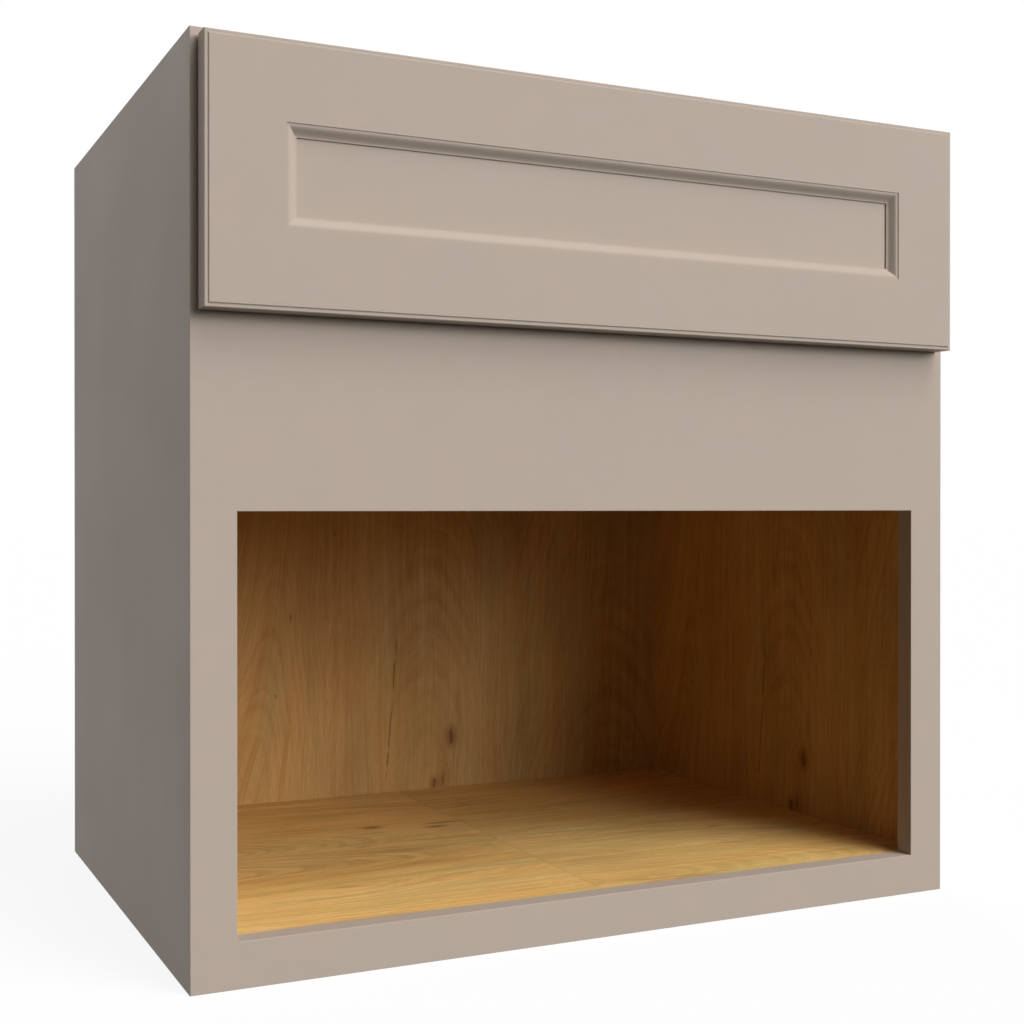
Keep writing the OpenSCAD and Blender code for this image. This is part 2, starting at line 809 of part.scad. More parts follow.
// A drawer runner, with a hook into the box's back and a tab beside the soft-close catch
module slide_runner(hand) {
    tab_y = (catch_y0 + catch_y1) / 2;
    tab_z = rail_lip_z + sheet_t + 1.2;
    color(zinc) placed() handed(hand) union() {
        slide_run(runner_y0, runner_y1, runner_lip_z) runner_section();
        block([slide_x - hook_w / 2, runner_y1, runner_z1 - sheet_t],
            [slide_x + hook_w / 2, runner_y1 + sheet_t, runner_z1 + hook_h]);
        block([slide_x - hook_w / 2, runner_y1 - cut, runner_z1 - sheet_t],
            [slide_x + hook_w / 2, runner_y1 + sheet_t, runner_z1]);
        translate([slide_x, runner_y1 - hook_pin_l, hook_z]) along_y()
            cylinder(h = hook_pin_l + sheet_t / 2, d = hook_pin_d);
        block([slide_x + channel_in, tab_y - tab_w / 2, tab_z],
            [slide_x + channel_r, tab_y + tab_w / 2, runner_lip_z + sheet_t]);
    }
}

module left_slide_runner() { slide_runner(-1); }
module right_slide_runner() { slide_runner(1); }

// ---- Drawer front ----

// The curve of the moulding, from its ledge down to its toe
function ogee(u0, v0, u1, v1) = [
    for (i = [0 : ogee_steps])
        let (s = i / ogee_steps) [u0 + (u1 - u0) * s, v0 + (v1 - v0) * (1 - cos(180 * s)) / 2]
];

// The section of a front member: u from the outer edge inwards, v from the back forwards
function member_section() = concat(
    [
        [0, 0], [0, front_t - edge_step_h - edge_ease], [edge_ease, front_t - edge_step_h],
        [edge_step_w, front_t - edge_step_h], [edge_step_w + edge_step_h, front_t],
        [member_w, front_t], [member_w, front_t - quirk_h]
    ],
    ogee(member_w + shelf_w, front_t - quirk_h, moulded_w, panel_v + toe_h),
    [
        [moulded_w, panel_v], [moulded_w - front_groove, panel_v],
        [moulded_w - front_groove, panel_v - front_panel_t - glue_gap],
        [moulded_w, panel_v - front_panel_t - glue_gap], [moulded_w, 0]
    ]
);

// One mitred member of this length, lying along +X with its outer edge at z = 0
module front_member(length) {
    intersection() {
        rotate([90, 0, 90]) linear_extrude(length)
            polygon([for (p = member_section()) [-p[1], p[0]]]);
        rotate([90, 0, 0]) linear_extrude(front_t)
            polygon([[0, 0], [length, 0], [length - moulded_w, moulded_w], [moulded_w, moulded_w]]);
    }
}

// Places screws that fix the box to the front, from inside the box
module fixing_places() {
    for (hand = [-1, 1], x = fixing_xs, z = fixing_zs)
        translate([hand * x, box_in_y0, z]) against_y() children();
}

// Stands a member up as the right-hand stile
module front_stile(hand) {
    color(paint) placed() difference() {
        handed(hand) translate([front_half_w, -bumper_gap, front_z0]) rotate([0, -90, 0])
            front_member(front_z1 - front_z0);
        fixing_places() screw_hole(fixing_screw_l, fixing_screw_d);
    }
}

module front_left_stile() { front_stile(-1); }
module front_right_stile() { front_stile(1); }

module front_bottom_rail() {
    color(paint) placed() translate([-front_half_w, -bumper_gap, front_z0])
        front_member(2 * front_half_w);
}

module front_top_rail() {
    color(paint) placed() translate([-front_half_w, -bumper_gap, front_z1]) mirror([0, 0, 1])
        front_member(2 * front_half_w);
}

module front_panel() {
    edge = moulded_w - front_groove + glue_gap;
    color(paint) placed()
        block([-front_half_w + edge, -bumper_gap - panel_v, front_z0 + edge],
            [front_half_w - edge, -bumper_gap - panel_v + front_panel_t, front_z1 - edge]);
}

module front_bumpers() {
    color(pale_plastic) placed()
        for (x = [-1, 1], z = [front_z0 + bumper_inset, front_z1 - bumper_inset])
            translate([x * (front_half_w - bumper_inset), -bumper_gap, z]) along_y()
                cylinder(h = bumper_gap - running_gap, d = bumper_d);
}

module front_fixing_screws() {
    color(zinc) placed() fixing_places()
        screw(fixing_screw_l, fixing_screw_d, fixing_head_d, small_head_h);
}

// ---- Drawer box ----

// The tails at one end of a side, as seen from the side, widened by spare on every flank
module tails(y_face, y_root, spare) {
    narrow = tail_step / 2 - pin_w / 2 - tail_flare / 2 + spare;
    wide = narrow + tail_flare;
    front_end = y_face < y_root;
    near = front_end ? [y_face, wide] : [y_root, narrow];
    far = front_end ? [y_root, narrow] : [y_face, wide];
    for (i = [0 : tail_count - 1])
        translate([0, box_z0 + (i + 0.5) * tail_step])
            polygon([[near[0], -near[1]], [far[0], -far[1]], far, near]);
}

// The room that the bottom needs in the four walls
module bottom_room() {
    block([-box_in_x - box_groove, box_in_y0 - box_groove, bottom_z - glue_gap],
        [box_in_x + box_groove, box_in_y1 + box_groove, bottom_z + box_bottom_t + glue_gap]);
}

module box_side(hand) {
    color(maple) placed() difference() {
        handed(hand) from_side(box_in_x, box_half_w) union() {
            translate([box_in_y0, box_z0]) square([box_in_y1 - box_in_y0, box_h]);
            translate([box_in_y0, box_z0]) square([box_y1 - box_in_y0, bottom_recess - glue_gap]);
            tails(box_y0, box_in_y0 + cut / 2, 0);
            tails(box_y1, box_in_y1 - cut / 2, 0);
        }
        bottom_room();
    }
}

module box_left_side() { box_side(-1); }
module box_right_side() { box_side(1); }

// An end wall with pins between the tails of both sides
module box_end(y0, y1, y_face, y_root) {
    difference() {
        block([-box_half_w, y0, box_z0], [box_half_w, y1, box_z1]);
        for (hand = [-1, 1])
            handed(hand) from_side(box_in_x - glue_gap, box_half_w + cut)
                tails(y_face, y_root, glue_gap);
        bottom_room();
    }
}

module box_front() {
    color(maple) placed() difference() {
        box_end(box_y0, box_in_y0, box_y0 - cut / 2, box_in_y0 + cut / 2);
        fixing_places() screw_hole(fixing_screw_l, fixing_screw_d);
        for (hand = [-1, 1])
            clip_screw_places(hand) screw_hole(clip_screw_l, small_screw_d);
    }
}

// The back is notched under the bottom for both slides and drilled for their hooks
module box_back() {
    color(maple) placed() difference() {
        box_end(box_in_y1, box_y1, box_y1 + cut / 2, box_in_y1 - cut / 2);
        for (hand = [-1, 1]) handed(hand) {
            block([slide_x - channel_r - notch_gap, box_in_y1 - cut, box_z0 - cut],
                [box_half_w + cut, box_y1 + cut, bottom_z]);
            translate([slide_x, box_in_y1 - cut, hook_z]) along_y()
                cylinder(h = box_wall_t + 2 * cut, d = hook_hole_d);
        }
    }
}

module box_bottom() {
    reach = box_groove - glue_gap;
    color(maple) placed()
        block([-box_in_x - reach, box_in_y0 - reach, bottom_z],
            [box_in_x + reach, box_in_y1 + reach, bottom_z + box_bottom_t]);
}

// ---- Front locking clips ----

// Screws that hold a clip to the box's front, under the bottom
module clip_screw_places(hand) {
    handed(hand) for (x = [clip_x0 + clip_screw_inset, clip_x1 - clip_screw_inset])
        translate([x, clip_y0 + clip_plate_t, clip_screw_z]) against_y() children();
}

// A clip: a plate under the bottom, a screwed flange, two ribs and the lever's pivot
module lock_clip(hand) {
    color(grey_plastic) placed() handed(hand) difference() {
        union() {
            block([clip_x0, clip_y0, bottom_z - clip_plate_t], [clip_x1, clip_y0 + clip_l, bottom_z]);
            block([clip_x0, clip_y0, clip_z0], [clip_x1, clip_y0 + clip_plate_t, bottom_z]);
            block([clip_x1 - clip_plate_t, clip_y0, clip_z0 + clip_rib_rise],
                [clip_x1, clip_y0 + clip_l, bottom_z]);
            translate([pivot_x, pivot_y, clip_z0]) cylinder(h = bottom_z - clip_z0, d = pivot_d);
        }
        clip_screw_places(1) screw_hole(clip_screw_l, small_screw_d);
    }
}

module left_lock_clip() { lock_clip(-1); }
module right_lock_clip() { lock_clip(1); }

// A lever that turns on the clip's pivot, with a nose towards the slide and a finger pad
module release_lever(hand) {
    pad = lever_ring_d / 2;
    color(pale_plastic) placed() handed(hand) translate([pivot_x, pivot_y, lever_z]) difference() {
        union() {
            cylinder(h = lever_t, d = lever_ring_d);
            block([-lever_arm, -lever_arm_w / 2, 0], [0, lever_arm_w / 2, lever_t]);
            block([0, -lever_arm_w / 2, 0], [lever_nose, lever_arm_w / 2, lever_t]);
            translate([-lever_arm, 0, 0]) cylinder(h = lever_t, r = pad);
        }
        translate([0, 0, -cut]) cylinder(h = lever_t + 2 * cut, d = pivot_d + 2 * pivot_gap);
    }
}

module left_release_lever() { release_lever(-1); }
module right_release_lever() { release_lever(1); }

module lock_clip_screws() {
    color(zinc) placed() for (hand = [-1, 1])
        clip_screw_places(hand) screw(clip_screw_l, small_screw_d, small_head_d, small_head_h);
}

// ---- The whole cabinet, one piece at a time ----

left_side();
right_side();
bottom_deck();
bay_ceiling();
back_panel();
top_back_rail();
bottom_back_cleat();
back_panel_screws();
left_stile();
right_stile();
top_rail();
mid_rail();
bottom_rail();
frame_pocket_screws();
front_left_brace();
front_right_brace();
rear_left_brace();
rear_right_brace();
corner_brace_screws();
left_slide_rail();
right_slide_rail();
left_rear_bracket();
right_rear_bracket();
slide_fixing_screws();
left_soft_close_housing();
right_soft_close_housing();
left_soft_close_catch();
right_soft_close_catch();
left_damper();
right_damper();
left_damper_rod();
right_damper_rod();
left_slide_middle();
right_slide_middle();
left_lower_rollers();
right_lower_rollers();
left_upper_rollers();
right_upper_rollers();
left_slide_runner();
right_slide_runner();
front_left_stile();
front_right_stile();
front_top_rail();
front_bottom_rail();
front_panel();
front_bumpers();
front_fixing_screws();
box_left_side();
box_right_side();
box_front();
box_back();
box_bottom();
left_lock_clip();
right_lock_clip();
left_release_lever();
right_release_lever();
lock_clip_screws();
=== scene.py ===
import json
import math

import bmesh
import bpy
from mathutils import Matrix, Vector


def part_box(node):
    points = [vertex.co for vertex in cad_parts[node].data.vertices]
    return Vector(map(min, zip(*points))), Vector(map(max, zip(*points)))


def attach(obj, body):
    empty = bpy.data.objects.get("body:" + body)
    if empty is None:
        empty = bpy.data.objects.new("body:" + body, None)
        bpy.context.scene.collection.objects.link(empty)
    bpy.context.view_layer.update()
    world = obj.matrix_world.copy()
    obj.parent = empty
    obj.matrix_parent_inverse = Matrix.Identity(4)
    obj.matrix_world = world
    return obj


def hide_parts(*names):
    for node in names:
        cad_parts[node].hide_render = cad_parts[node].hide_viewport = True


bl_info = {
    "name": "Microwave base cabinet",
    "version": (1, 0, 0),
    "blender": (4, 5, 0),
    "location": "View3D > Sidebar > Cabinet",
    "description": "Dresses a painted base cabinet that has a wide drawer over an open microwave bay",
    "category": "Object",
}

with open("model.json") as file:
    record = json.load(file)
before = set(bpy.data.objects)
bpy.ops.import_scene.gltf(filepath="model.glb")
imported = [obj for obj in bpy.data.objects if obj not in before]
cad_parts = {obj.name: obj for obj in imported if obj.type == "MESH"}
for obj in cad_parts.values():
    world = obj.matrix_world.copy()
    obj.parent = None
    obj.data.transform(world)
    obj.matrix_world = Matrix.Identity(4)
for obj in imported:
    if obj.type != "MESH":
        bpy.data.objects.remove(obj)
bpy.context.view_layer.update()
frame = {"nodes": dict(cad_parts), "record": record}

MM = 0.001
# Places closer than this are the same
WELD = 1e-6
BODY_OF = {
    node: body
    for body, nodes in frame["record"]["behaviour"]["bodies"].items()
    for node in nodes
}
SLOT_OF = {part["node"]: part["material_slot"] for part in frame["record"]["subparts"]}
HANDS = {"left": -1, "right": 1}
AXES = "XYZ"

# The frame's face and the levels of its rails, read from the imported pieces
FRAME_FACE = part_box("left_stile")[0].y
MID_RAIL = [corner.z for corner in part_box("mid_rail")]
TOP_RAIL = [corner.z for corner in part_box("top_rail")]
BOTTOM_RAIL = [corner.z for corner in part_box("bottom_rail")]


# ---------------------------------------------------------------- shader maths


# Angle from one whole number to the next, in radians, so that each has a sine of its own
SCATTER = 12.9898


class Wire:
    """A node's output. Arithmetic on it adds the Math nodes that work it out."""

    def __init__(self, tree, socket):
        self.tree = tree
        self.socket = socket

    def other(self, name):
        """Another output of the same node."""
        return Wire(self.tree, self.socket.node.outputs[name])

    def _math(self, operation, *values):
        return self.tree.node("ShaderNodeMath", {"operation": operation}, dict(enumerate(values)))

    def __add__(self, value):
        return self._math("ADD", self, value)

    def __sub__(self, value):
        return self._math("SUBTRACT", self, value)

    def __rsub__(self, value):
        return self._math("SUBTRACT", value, self)

    def __mul__(self, value):
        return self._math("MULTIPLY", self, value)

    def __truediv__(self, value):
        return self._math("DIVIDE", self, value)

    def __rtruediv__(self, value):
        return self._math("DIVIDE", value, self)

    def __pow__(self, value):
        return self._math("POWER", self, value)

    def __rpow__(self, value):
        return self._math("POWER", value, self)

    def __abs__(self):
        return self._math("ABSOLUTE", self)

    def __gt__(self, value):
        return self._math("GREATER_THAN", self, value)

    # The reflected form of the one above
    def __lt__(self, value):
        return self._math("LESS_THAN", self, value)

    __radd__ = __add__
    __rmul__ = __mul__

    def floor(self):
        return self._math("FLOOR", self)

    def fract(self):
        return self._math("FRACT", self)

    def scatter(self):
        """A number from -1 to 1 of its own for each whole number."""
        return self._math("SINE", self * SCATTER)

    def decay(self):
        """One at zero, falling towards nought as the value grows."""
        return self._math("EXPONENT", self * -1.0)

    def bell(self):
        """One at zero, falling off on both sides."""
        return (self * self).decay()

    def larger(self, value):
        return self._math("MAXIMUM", self, value)


class Tree:
    """The nodes of one material or world."""

    def __init__(self, owner):
        owner.use_nodes = True
        self.nodes = owner.node_tree.nodes
        self.links = owner.node_tree.links
        self.nodes.clear()

    def node(self, kind, settings=None, inputs=None, output=0):
        """Adds a node: its settings first, then the values or wires of its sockets."""
        made = self.nodes.new(kind)
        for key, value in (settings or {}).items():
            setattr(made, key, value)
        for key, value in (inputs or {}).items():
            if isinstance(value, Wire):
                self.links.new(value.socket, made.inputs[key])
            else:
                made.inputs[key].default_value = value
        return Wire(self, made.outputs[output]) if made.outputs else made

    def place(self):
        """Where a point lies on the piece at rest, as x, y and z in metres."""
        spot = self.node("ShaderNodeTexCoord", output="Object")
        x = self.node("ShaderNodeSeparateXYZ", inputs={0: spot})
        return x, x.other("Y"), x.other("Z")

    def spot(self):
        """The same place as one vector."""
        return self.join(*self.place())

    def join(self, x, y, z=0.0):
        return self.node("ShaderNodeCombineXYZ", inputs={0: x, 1: y, 2: z})

    def noise(self, spot, scale=1.0, detail=2.0, roughness=0.5):
        """Soft noise that runs from about -0.5 to 0.5."""
        inputs = {"Vector": spot, "Scale": scale, "Detail": detail, "Roughness": roughness}
        return self.node("ShaderNodeTexNoise", inputs=inputs) - 0.5

    def step(self, value, low, high):
        """Runs smoothly from 0 at low to 1 at high."""
        settings = {"interpolation_type": "SMOOTHSTEP"}
        inputs = {"Value": value, "From Min": low, "From Max": high}
        return self.node("ShaderNodeMapRange", settings, inputs)

    def mix(self, share, first, second, blend="MIX"):
        """Blends two colours, by the sockets that the Mix node keeps for colours."""
        settings = {"data_type": "RGBA", "blend_type": blend}
        inputs = {0: share, 6: self.opaque(first), 7: self.opaque(second)}
        return self.node("ShaderNodeMix", settings, inputs, output=2)

    @staticmethod
    def opaque(colour):
        return colour if isinstance(colour, Wire) else (*colour[:3], 1.0)

    def bump(self, height, distance, strength=1.0):
        inputs = {"Height": height, "Distance": distance, "Strength": strength}
        return self.node("ShaderNodeBump", inputs=inputs)

    def finish(self, **sockets):
        """The shader itself, with words such as Base_Color for its sockets."""
        inputs = {key.replace("_", " "): value for key, value in sockets.items()}
        shader = self.node("ShaderNodeBsdfPrincipled", inputs=inputs)
        self.node("ShaderNodeOutputMaterial", inputs={"Surface": shader})


MATERIALS = {}


def finish(build):
    """Marks a function that makes a material, so that it is made once for the same details."""

    def get(*details):
        name = "_".join([build.__name__, *(str(detail) for detail in details)])
        if name not in MATERIALS:
            material = bpy.data.materials.new(name)
            build(Tree(material), *details)
            MATERIALS[name] = material
        return MATERIALS[name]

    return get


# ---------------------------------------------------------------- wood

# Colours of a knot's heart and of the wood in it, of veins, splits, strip joints and glue
HEART = (0.075, 0.030, 0.010)
BARK = (0.25, 0.115, 0.032)
VEIN = (0.36, 0.165, 0.045)
SPLIT = (0.15, 0.055, 0.015)
JOINT = (0.20, 0.10, 0.035)
GLUE = (0.13, 0.07, 0.035)
# What a warmer and a cooler part of the wood is multiplied by, and how much of that is taken
WARM_SHIFT = (1.06, 0.95, 0.84)
COOL_SHIFT = (0.90, 0.96, 0.92)
DRIFT = 0.9


class Layer:
    """A layer of noise in the wood: its scale across and along the grain, per metre, and its own offset.

    fade is where the noise starts to count and where it counts in full, for a layer used as patches.
    """

    def __init__(self, across, along, offset, detail=2.0, roughness=0.5, fade=None):
        self.across = across
        self.along = along
        self.offset = offset
        self.detail = detail
        self.roughness = roughness
        self.fade = fade

    def noise(self, tree, across, along, seed):
        spot = tree.join(across * self.across, along * self.along, seed + self.offset)
        return tree.noise(spot, detail=self.detail, roughness=self.roughness)

    def patches(self, tree, across, along, seed):
        return tree.step(self.noise(tree, across, along, seed), *self.fade)


# Layers laid out over the board, whichever way its grain bends
BROAD = Layer(3.4, 1.2, 0.0, detail=1.0)
SWAY = Layer(15, 6.0, 3.1)
RIPPLE = Layer(26, 13, 12.0)
FIGURE = Layer(9, 3.6, 11.0, detail=1.0, fade=(-0.12, 0.16))
CLOUD = Layer(14, 7.0, 4.0, detail=3.0, roughness=0.6)
VEIN_RUN = Layer(11, 8, 19.0, fade=(-0.04, 0.14))
# Layers that follow the bent grain
BAND = Layer(38, 1.0, 7.7, roughness=0.6)
STREAK = Layer(170, 2.6, 2.0, roughness=0.6)
THREAD = Layer(330, 4.5, 13.0, roughness=0.6)
FIBRE = Layer(900, 22, 5.0, roughness=0.75)
FLECK = Layer(520, 110, 9.0, roughness=0.7)
DASH = Layer(560, 30, 8.0, detail=0.0, fade=(0.24, 0.34))
WARM = Layer(17, 2.4, 6.0, fade=(-0.16, 0.16))
COOL = Layer(21, 3.1, 16.0, fade=(0.0, 0.24))
VEIN_LINE = Layer(34, 1.3, 18.0, detail=1.0)

# How far the broad and the quick sway push the grain across, in metres
BROAD_BEND = 0.11
SWAY_BEND = 0.014
# How many half widths across and along a knot bends the grain, and how closely the grain follows it
KNOT_REACH = 3.2
KNOT_RUN = 6.5
KNOT_PULL = 0.75
# Width of one leaf of veneer, and the pith behind it: its slope, its depth and how much that differs
LEAF = 0.245
LEAF_OFFSET = 0.083
PITH_SLOPE = 0.17
PITH_DEPTH = 0.09
PITH_SCATTER = 0.02
RING_RIPPLE = 0.007
RINGS_PER_METRE = 330
# What a growth line is made of: the soft change between rings and the thin line where a ring ends, which
# lies at LINE_PLACE with the fineness LINE_FINENESS. Where the figure is faint, FAINT of it is left.
RING_SHADE = 0.75
LINE_SHADE = 0.16
LINE_FINENESS = 11
LINE_PLACE = 1.2
FAINT = 0.2
# Darkness of the wood between its lines, and what each layer adds to it
GROUND_SHADE = 0.42
BAND_SHADE = 0.42
STREAK_SHADE = 0.50
THREAD_SHADE = 0.66
FIBRE_SHADE = 0.66
FLECK_SHADE = 0.50
CLOUD_SHADE = 0.66
DASH_SHADE = 0.10
DASH_FIGURE = 0.22
# What stands proud of the wood and what lies below it, as shares of the grain's relief
FIBRE_RELIEF = 0.6
STREAK_RELIEF = 0.3
DASH_RELIEF = 0.4
# How thin the veins are and how much of their colour they take
VEIN_FINENESS = 75
VEIN_SHARE = 0.50
# Height of the grain under the lacquer
GRAIN_RELIEF = 0.12 * MM
# How much of a knot's colours shows round it, in it and at its heart, and where each of them fades out
KNOT_HALO = 0.42
KNOT_BODY = 0.62
KNOT_HEART = 0.62
HALO_FADE = (0.1, 4.5)
BODY_FADE = (0.2, 1.3)
HEART_FADE = (0.25, 1.15)
# Scale of a knot's ragged outline across and along the grain, per metre
RAGGED_ACROSS = 190
RAGGED_ALONG = 120
# How far and how often a split wanders, how often it breaks off, and how gently it starts and ends
SPLIT_DRIFT = 3.0 * MM
SPLIT_DRIFTS_PER_METRE = 55
SPLIT_BREAKS_PER_METRE = 42
SPLIT_FADE = (-0.20, 0.04)
SPLIT_OVERRUN = 6.0 * MM
SPLIT_TAPER = 12.0 * MM


class Knot:
    """A knot: its middle across and along the grain and its half width in metres, how deep its colour is,
    and how many times longer than wide it is.
    """

    def __init__(self, across, along, size, depth, stretch):
        self.across = across
        self.along = along
        self.size = size
        self.depth = depth
        self.stretch = stretch


class Crack:
    """A split from foot to head, each a place across and along the grain, with its half width in metres
    and how deep its colour is.
    """

    def __init__(self, foot, head, width, depth):
        self.foot = foot
        self.head = head
        self.width = width
        self.depth = depth


def bend_grain(tree, across, along, seed, knots, lean):
    """Distance across the grain once it has swayed, been pushed by lean and gone round the knots."""
    broad = BROAD.noise(tree, across, along, seed)
    sway = SWAY.noise(tree, across, along, seed)
    bent = across + lean + broad * BROAD_BEND + sway * SWAY_BEND
    for knot in knots:
        near = (across - knot.across) / (knot.size * KNOT_REACH)
        far = (along - knot.along) / (knot.size * KNOT_RUN)
        pull = (near * near + far * far).decay()
        bent = bent - (across - knot.across) * pull * KNOT_PULL
    return bent


def growth_lines(tree, across, along, bent, seed, figure):
    """Nested arches round a pith that runs at a slant behind the face, plainer where figure is high."""
    leaf = (bent + seed * LEAF_OFFSET) / LEAF
    middle = (leaf.fract() - 0.5) * LEAF
    rise = along * PITH_SLOPE + leaf.floor().scatter() * PITH_SCATTER + PITH_DEPTH
    depth = (middle * middle + rise * rise) ** 0.5 + RIPPLE.noise(tree, across, along, seed) * RING_RIPPLE
    ring = tree.noise(tree.join(depth * RINGS_PER_METRE, seed), detail=1.0, roughness=0.45)
    line = (ring * LINE_FINENESS - LINE_PLACE).bell()
    return (ring * RING_SHADE + line * LINE_SHADE) * (figure * (1 - FAINT) + FAINT)


def shift_tone(tree, colour, share, shift):
    """Turns a share of the colour warmer or cooler."""
    return tree.mix(share * DRIFT, colour, tree.mix(1.0, colour, shift, "MULTIPLY"))


def knot_colour(tree, across, along, knot, colour, dark):
    """Darkens the wood round a knot and draws its split heart."""
    spot = tree.join(across * RAGGED_ACROSS, along * RAGGED_ALONG, knot.along * 90)
    wobble = tree.noise(spot, detail=3.0, roughness=0.65)
    near = (across - knot.across + wobble * knot.size * 0.9) / knot.size
    far = (along - knot.along) / (knot.size * knot.stretch)
    reach = near * near + far * far + wobble * 1.3
    slit = near * near * 7 + far * far * 0.9 + wobble * 1.6
    halo = 1 - tree.step(reach, *HALO_FADE)
    heart = 1 - tree.step(slit, *HEART_FADE)
    body = 1 - tree.step(reach, *BODY_FADE)
    colour = tree.mix(halo * KNOT_HALO * knot.depth, colour, dark, "MULTIPLY")
    colour = tree.mix(body * KNOT_BODY * knot.depth, colour, BARK)
    return tree.mix(heart * KNOT_HEART * knot.depth, colour, HEART)


def crack_colour(tree, across, along, crack, colour, seed):
    """Draws a split that wanders and breaks off here and there."""
    low_across, low = crack.foot
    high_across, high = crack.head
    slope = (high_across - low_across) / (high - low)
    drift = tree.noise(tree.join(along * SPLIT_DRIFTS_PER_METRE, seed)) * SPLIT_DRIFT
    gap = (across - low_across - (along - low) * slope + drift) / crack.width
    starts = tree.step(along, low - SPLIT_OVERRUN, low + SPLIT_TAPER)
    ends = 1 - tree.step(along, high - SPLIT_TAPER, high + SPLIT_OVERRUN)
    kept = tree.noise(tree.join(0.0, along * SPLIT_BREAKS_PER_METRE, seed + 1.0), detail=1.0)
    broken = tree.step(kept, *SPLIT_FADE)
    return tree.mix(gap.bell() * starts * ends * broken * crack.depth, colour, SPLIT)


def wood_colour(tree, across, along, seed, pair, knots=(), cracks=(), lean=0.0, rings=1.0):
    """Colour and relief of a sliced maple face.

    across and along are distances in metres; pair is the colours of the pale wood and of its darker
    lines. lean is how far the grain is pushed across, such as where it slants, and rings is how plain
    the growth lines are.
    """
    pale, dark = pair
    bent = bend_grain(tree, across, along, seed, knots, lean)
    figure = FIGURE.patches(tree, across, along, seed)
    streak = STREAK.noise(tree, bent, along, seed)
    fibre = FIBRE.noise(tree, bent, along, seed)
    dash = DASH.patches(tree, bent, along, seed)

    shade = growth_lines(tree, across, along, bent, seed, figure) * rings + GROUND_SHADE
    shade = shade + BAND.noise(tree, bent, along, seed) * BAND_SHADE
    shade = shade + streak * STREAK_SHADE
    shade = shade + THREAD.noise(tree, bent, along, seed) * THREAD_SHADE
    shade = shade + fibre * FIBRE_SHADE
    shade = shade + FLECK.noise(tree, bent, along, seed) * FLECK_SHADE
    shade = shade + CLOUD.noise(tree, across, along, seed) * CLOUD_SHADE
    shade = shade + dash * (figure * DASH_FIGURE + DASH_SHADE)
    colour = tree.mix(shade, pale, dark)
    warm = WARM.patches(tree, bent, along, seed)
    colour = shift_tone(tree, colour, warm, WARM_SHIFT)
    cool = COOL.patches(tree, bent, along, seed)
    colour = shift_tone(tree, colour, cool, COOL_SHIFT)

    # Thin red-brown veins that come and go along the grain
    vein = (VEIN_LINE.noise(tree, bent, along, seed) * VEIN_FINENESS).bell()
    comes = VEIN_RUN.patches(tree, across, along, seed)
    colour = tree.mix(vein * comes * VEIN_SHARE, colour, VEIN)

    for knot in knots:
        colour = knot_colour(tree, across, along, knot, colour, dark)
    for crack in cracks:
        colour = crack_colour(tree, across, along, crack, colour, seed)
    return colour, fibre * FIBRE_RELIEF + streak * STREAK_RELIEF - dash * DASH_RELIEF


def varnish(tree, colour, relief, dull=0.48):
    """Clear satin lacquer over the wood, whose dullness and fine relief follow the grain."""
    grain = tree.bump(relief, GRAIN_RELIEF, 0.35)
    tree.finish(Base_Color=colour, Roughness=relief * 0.08 + dull, Normal=grain, Specular_IOR_Level=0.15)


# What the two tones of the maple are multiplied by: painted shade on the bay's back and walls, painted
# light on its floor
BACK_PAINTED_SHADE = (0.79, 0.76, 0.70)
WALL_PAINTED_SHADE = (0.87, 0.84, 0.78)
FLOOR_PAINTED_LIGHT = (1.32, 1.40, 1.36)
# How bright the maple is on the bay's ceiling, darkened there as painted shade for the top of the bay, and
# in the drawer box
CEILING_PAINTED_SHADE = 0.65
BOX_LIFT = 1.12
BOX_BOTTOM_LIFT = 1.08
# The same sliced face shows on the back and, mirrored, on the sides
BOARD_KNOTS = (
    Knot(0.0725, 0.1000, 0.0055, 1.0, 1.9),
    Knot(0.0500, 0.0430, 0.0050, 0.8, 1.5),
    Knot(0.0615, 0.0480, 0.0026, 0.7, 3.4),
    Knot(-0.0798, 0.3525, 0.0012, 0.7, 2.0),
    Knot(-0.1345, 0.2541, 0.0012, 0.7, 4.0),
    Knot(-0.1530, 0.1620, 0.0011, 0.7, 2.0),
)
BOARD_CRACKS = (
    Crack((-0.0140, 0.052), (-0.0062, 0.142), 0.0009, 0.82),
    Crack((-0.0062, 0.142), (0.0000, 0.226), 0.0010, 0.86),
)
# How far that face is shifted on the sides, so that its knots lie where they are seen
SIDE_SHIFT = 0.0210
# Where the grain of that face starts to fan out to the left, and how much it slants at its edge
FAN_START, FAN_END, FAN_FOOT, FAN_SLOPE = -0.09, -0.23, 0.05, 0.42
# Strips of the floor: the first seam and their width, the butt joint, and how wide a joint shows
FLOOR_SEAM = 0.0154
STRIP_WIDTH = 0.1462
FLOOR_JOINT = 0.0010
JOINT_WIDTH = 0.6 * MM
# What the darkest strip is multiplied by, how much of that a strip takes at most, and how widely the
# strips' tones are spread, which would otherwise change little from one to the next
STRIP_TONE = (0.78, 0.69, 0.55)
STRIP_SHARE = 0.34
STRIP_SPREAD = 43.17
# How far the grain and the noise are moved from one strip to the next, and how dark a joint is
STRIP_SHIFT = 0.137
STRIP_SEED = 2.3
JOINT_SHARE = 0.30
FLOOR_KNOTS = (
    Knot(0.0869, -0.0991, 0.0048, 0.9, 2.1),
    Knot(0.0639, -0.0337, 0.0042, 0.8, 2.4),
    Knot(0.0800, -0.0190, 0.0034, 0.7, 5.5),
    Knot(0.0077, -0.1375, 0.0018, 0.6, 5.0),
    Knot(-0.0346, -0.0180, 0.0016, 0.5, 2.0),
    Knot(-0.0615, 0.2394, 0.0030, 0.5, 3.0),
)


def tones():
    """The colours of the pale maple and of its darker lines."""
    looks = bpy.context.scene.cabinet_finishes
    return tuple(looks.maple_pale), tuple(looks.maple_dark)


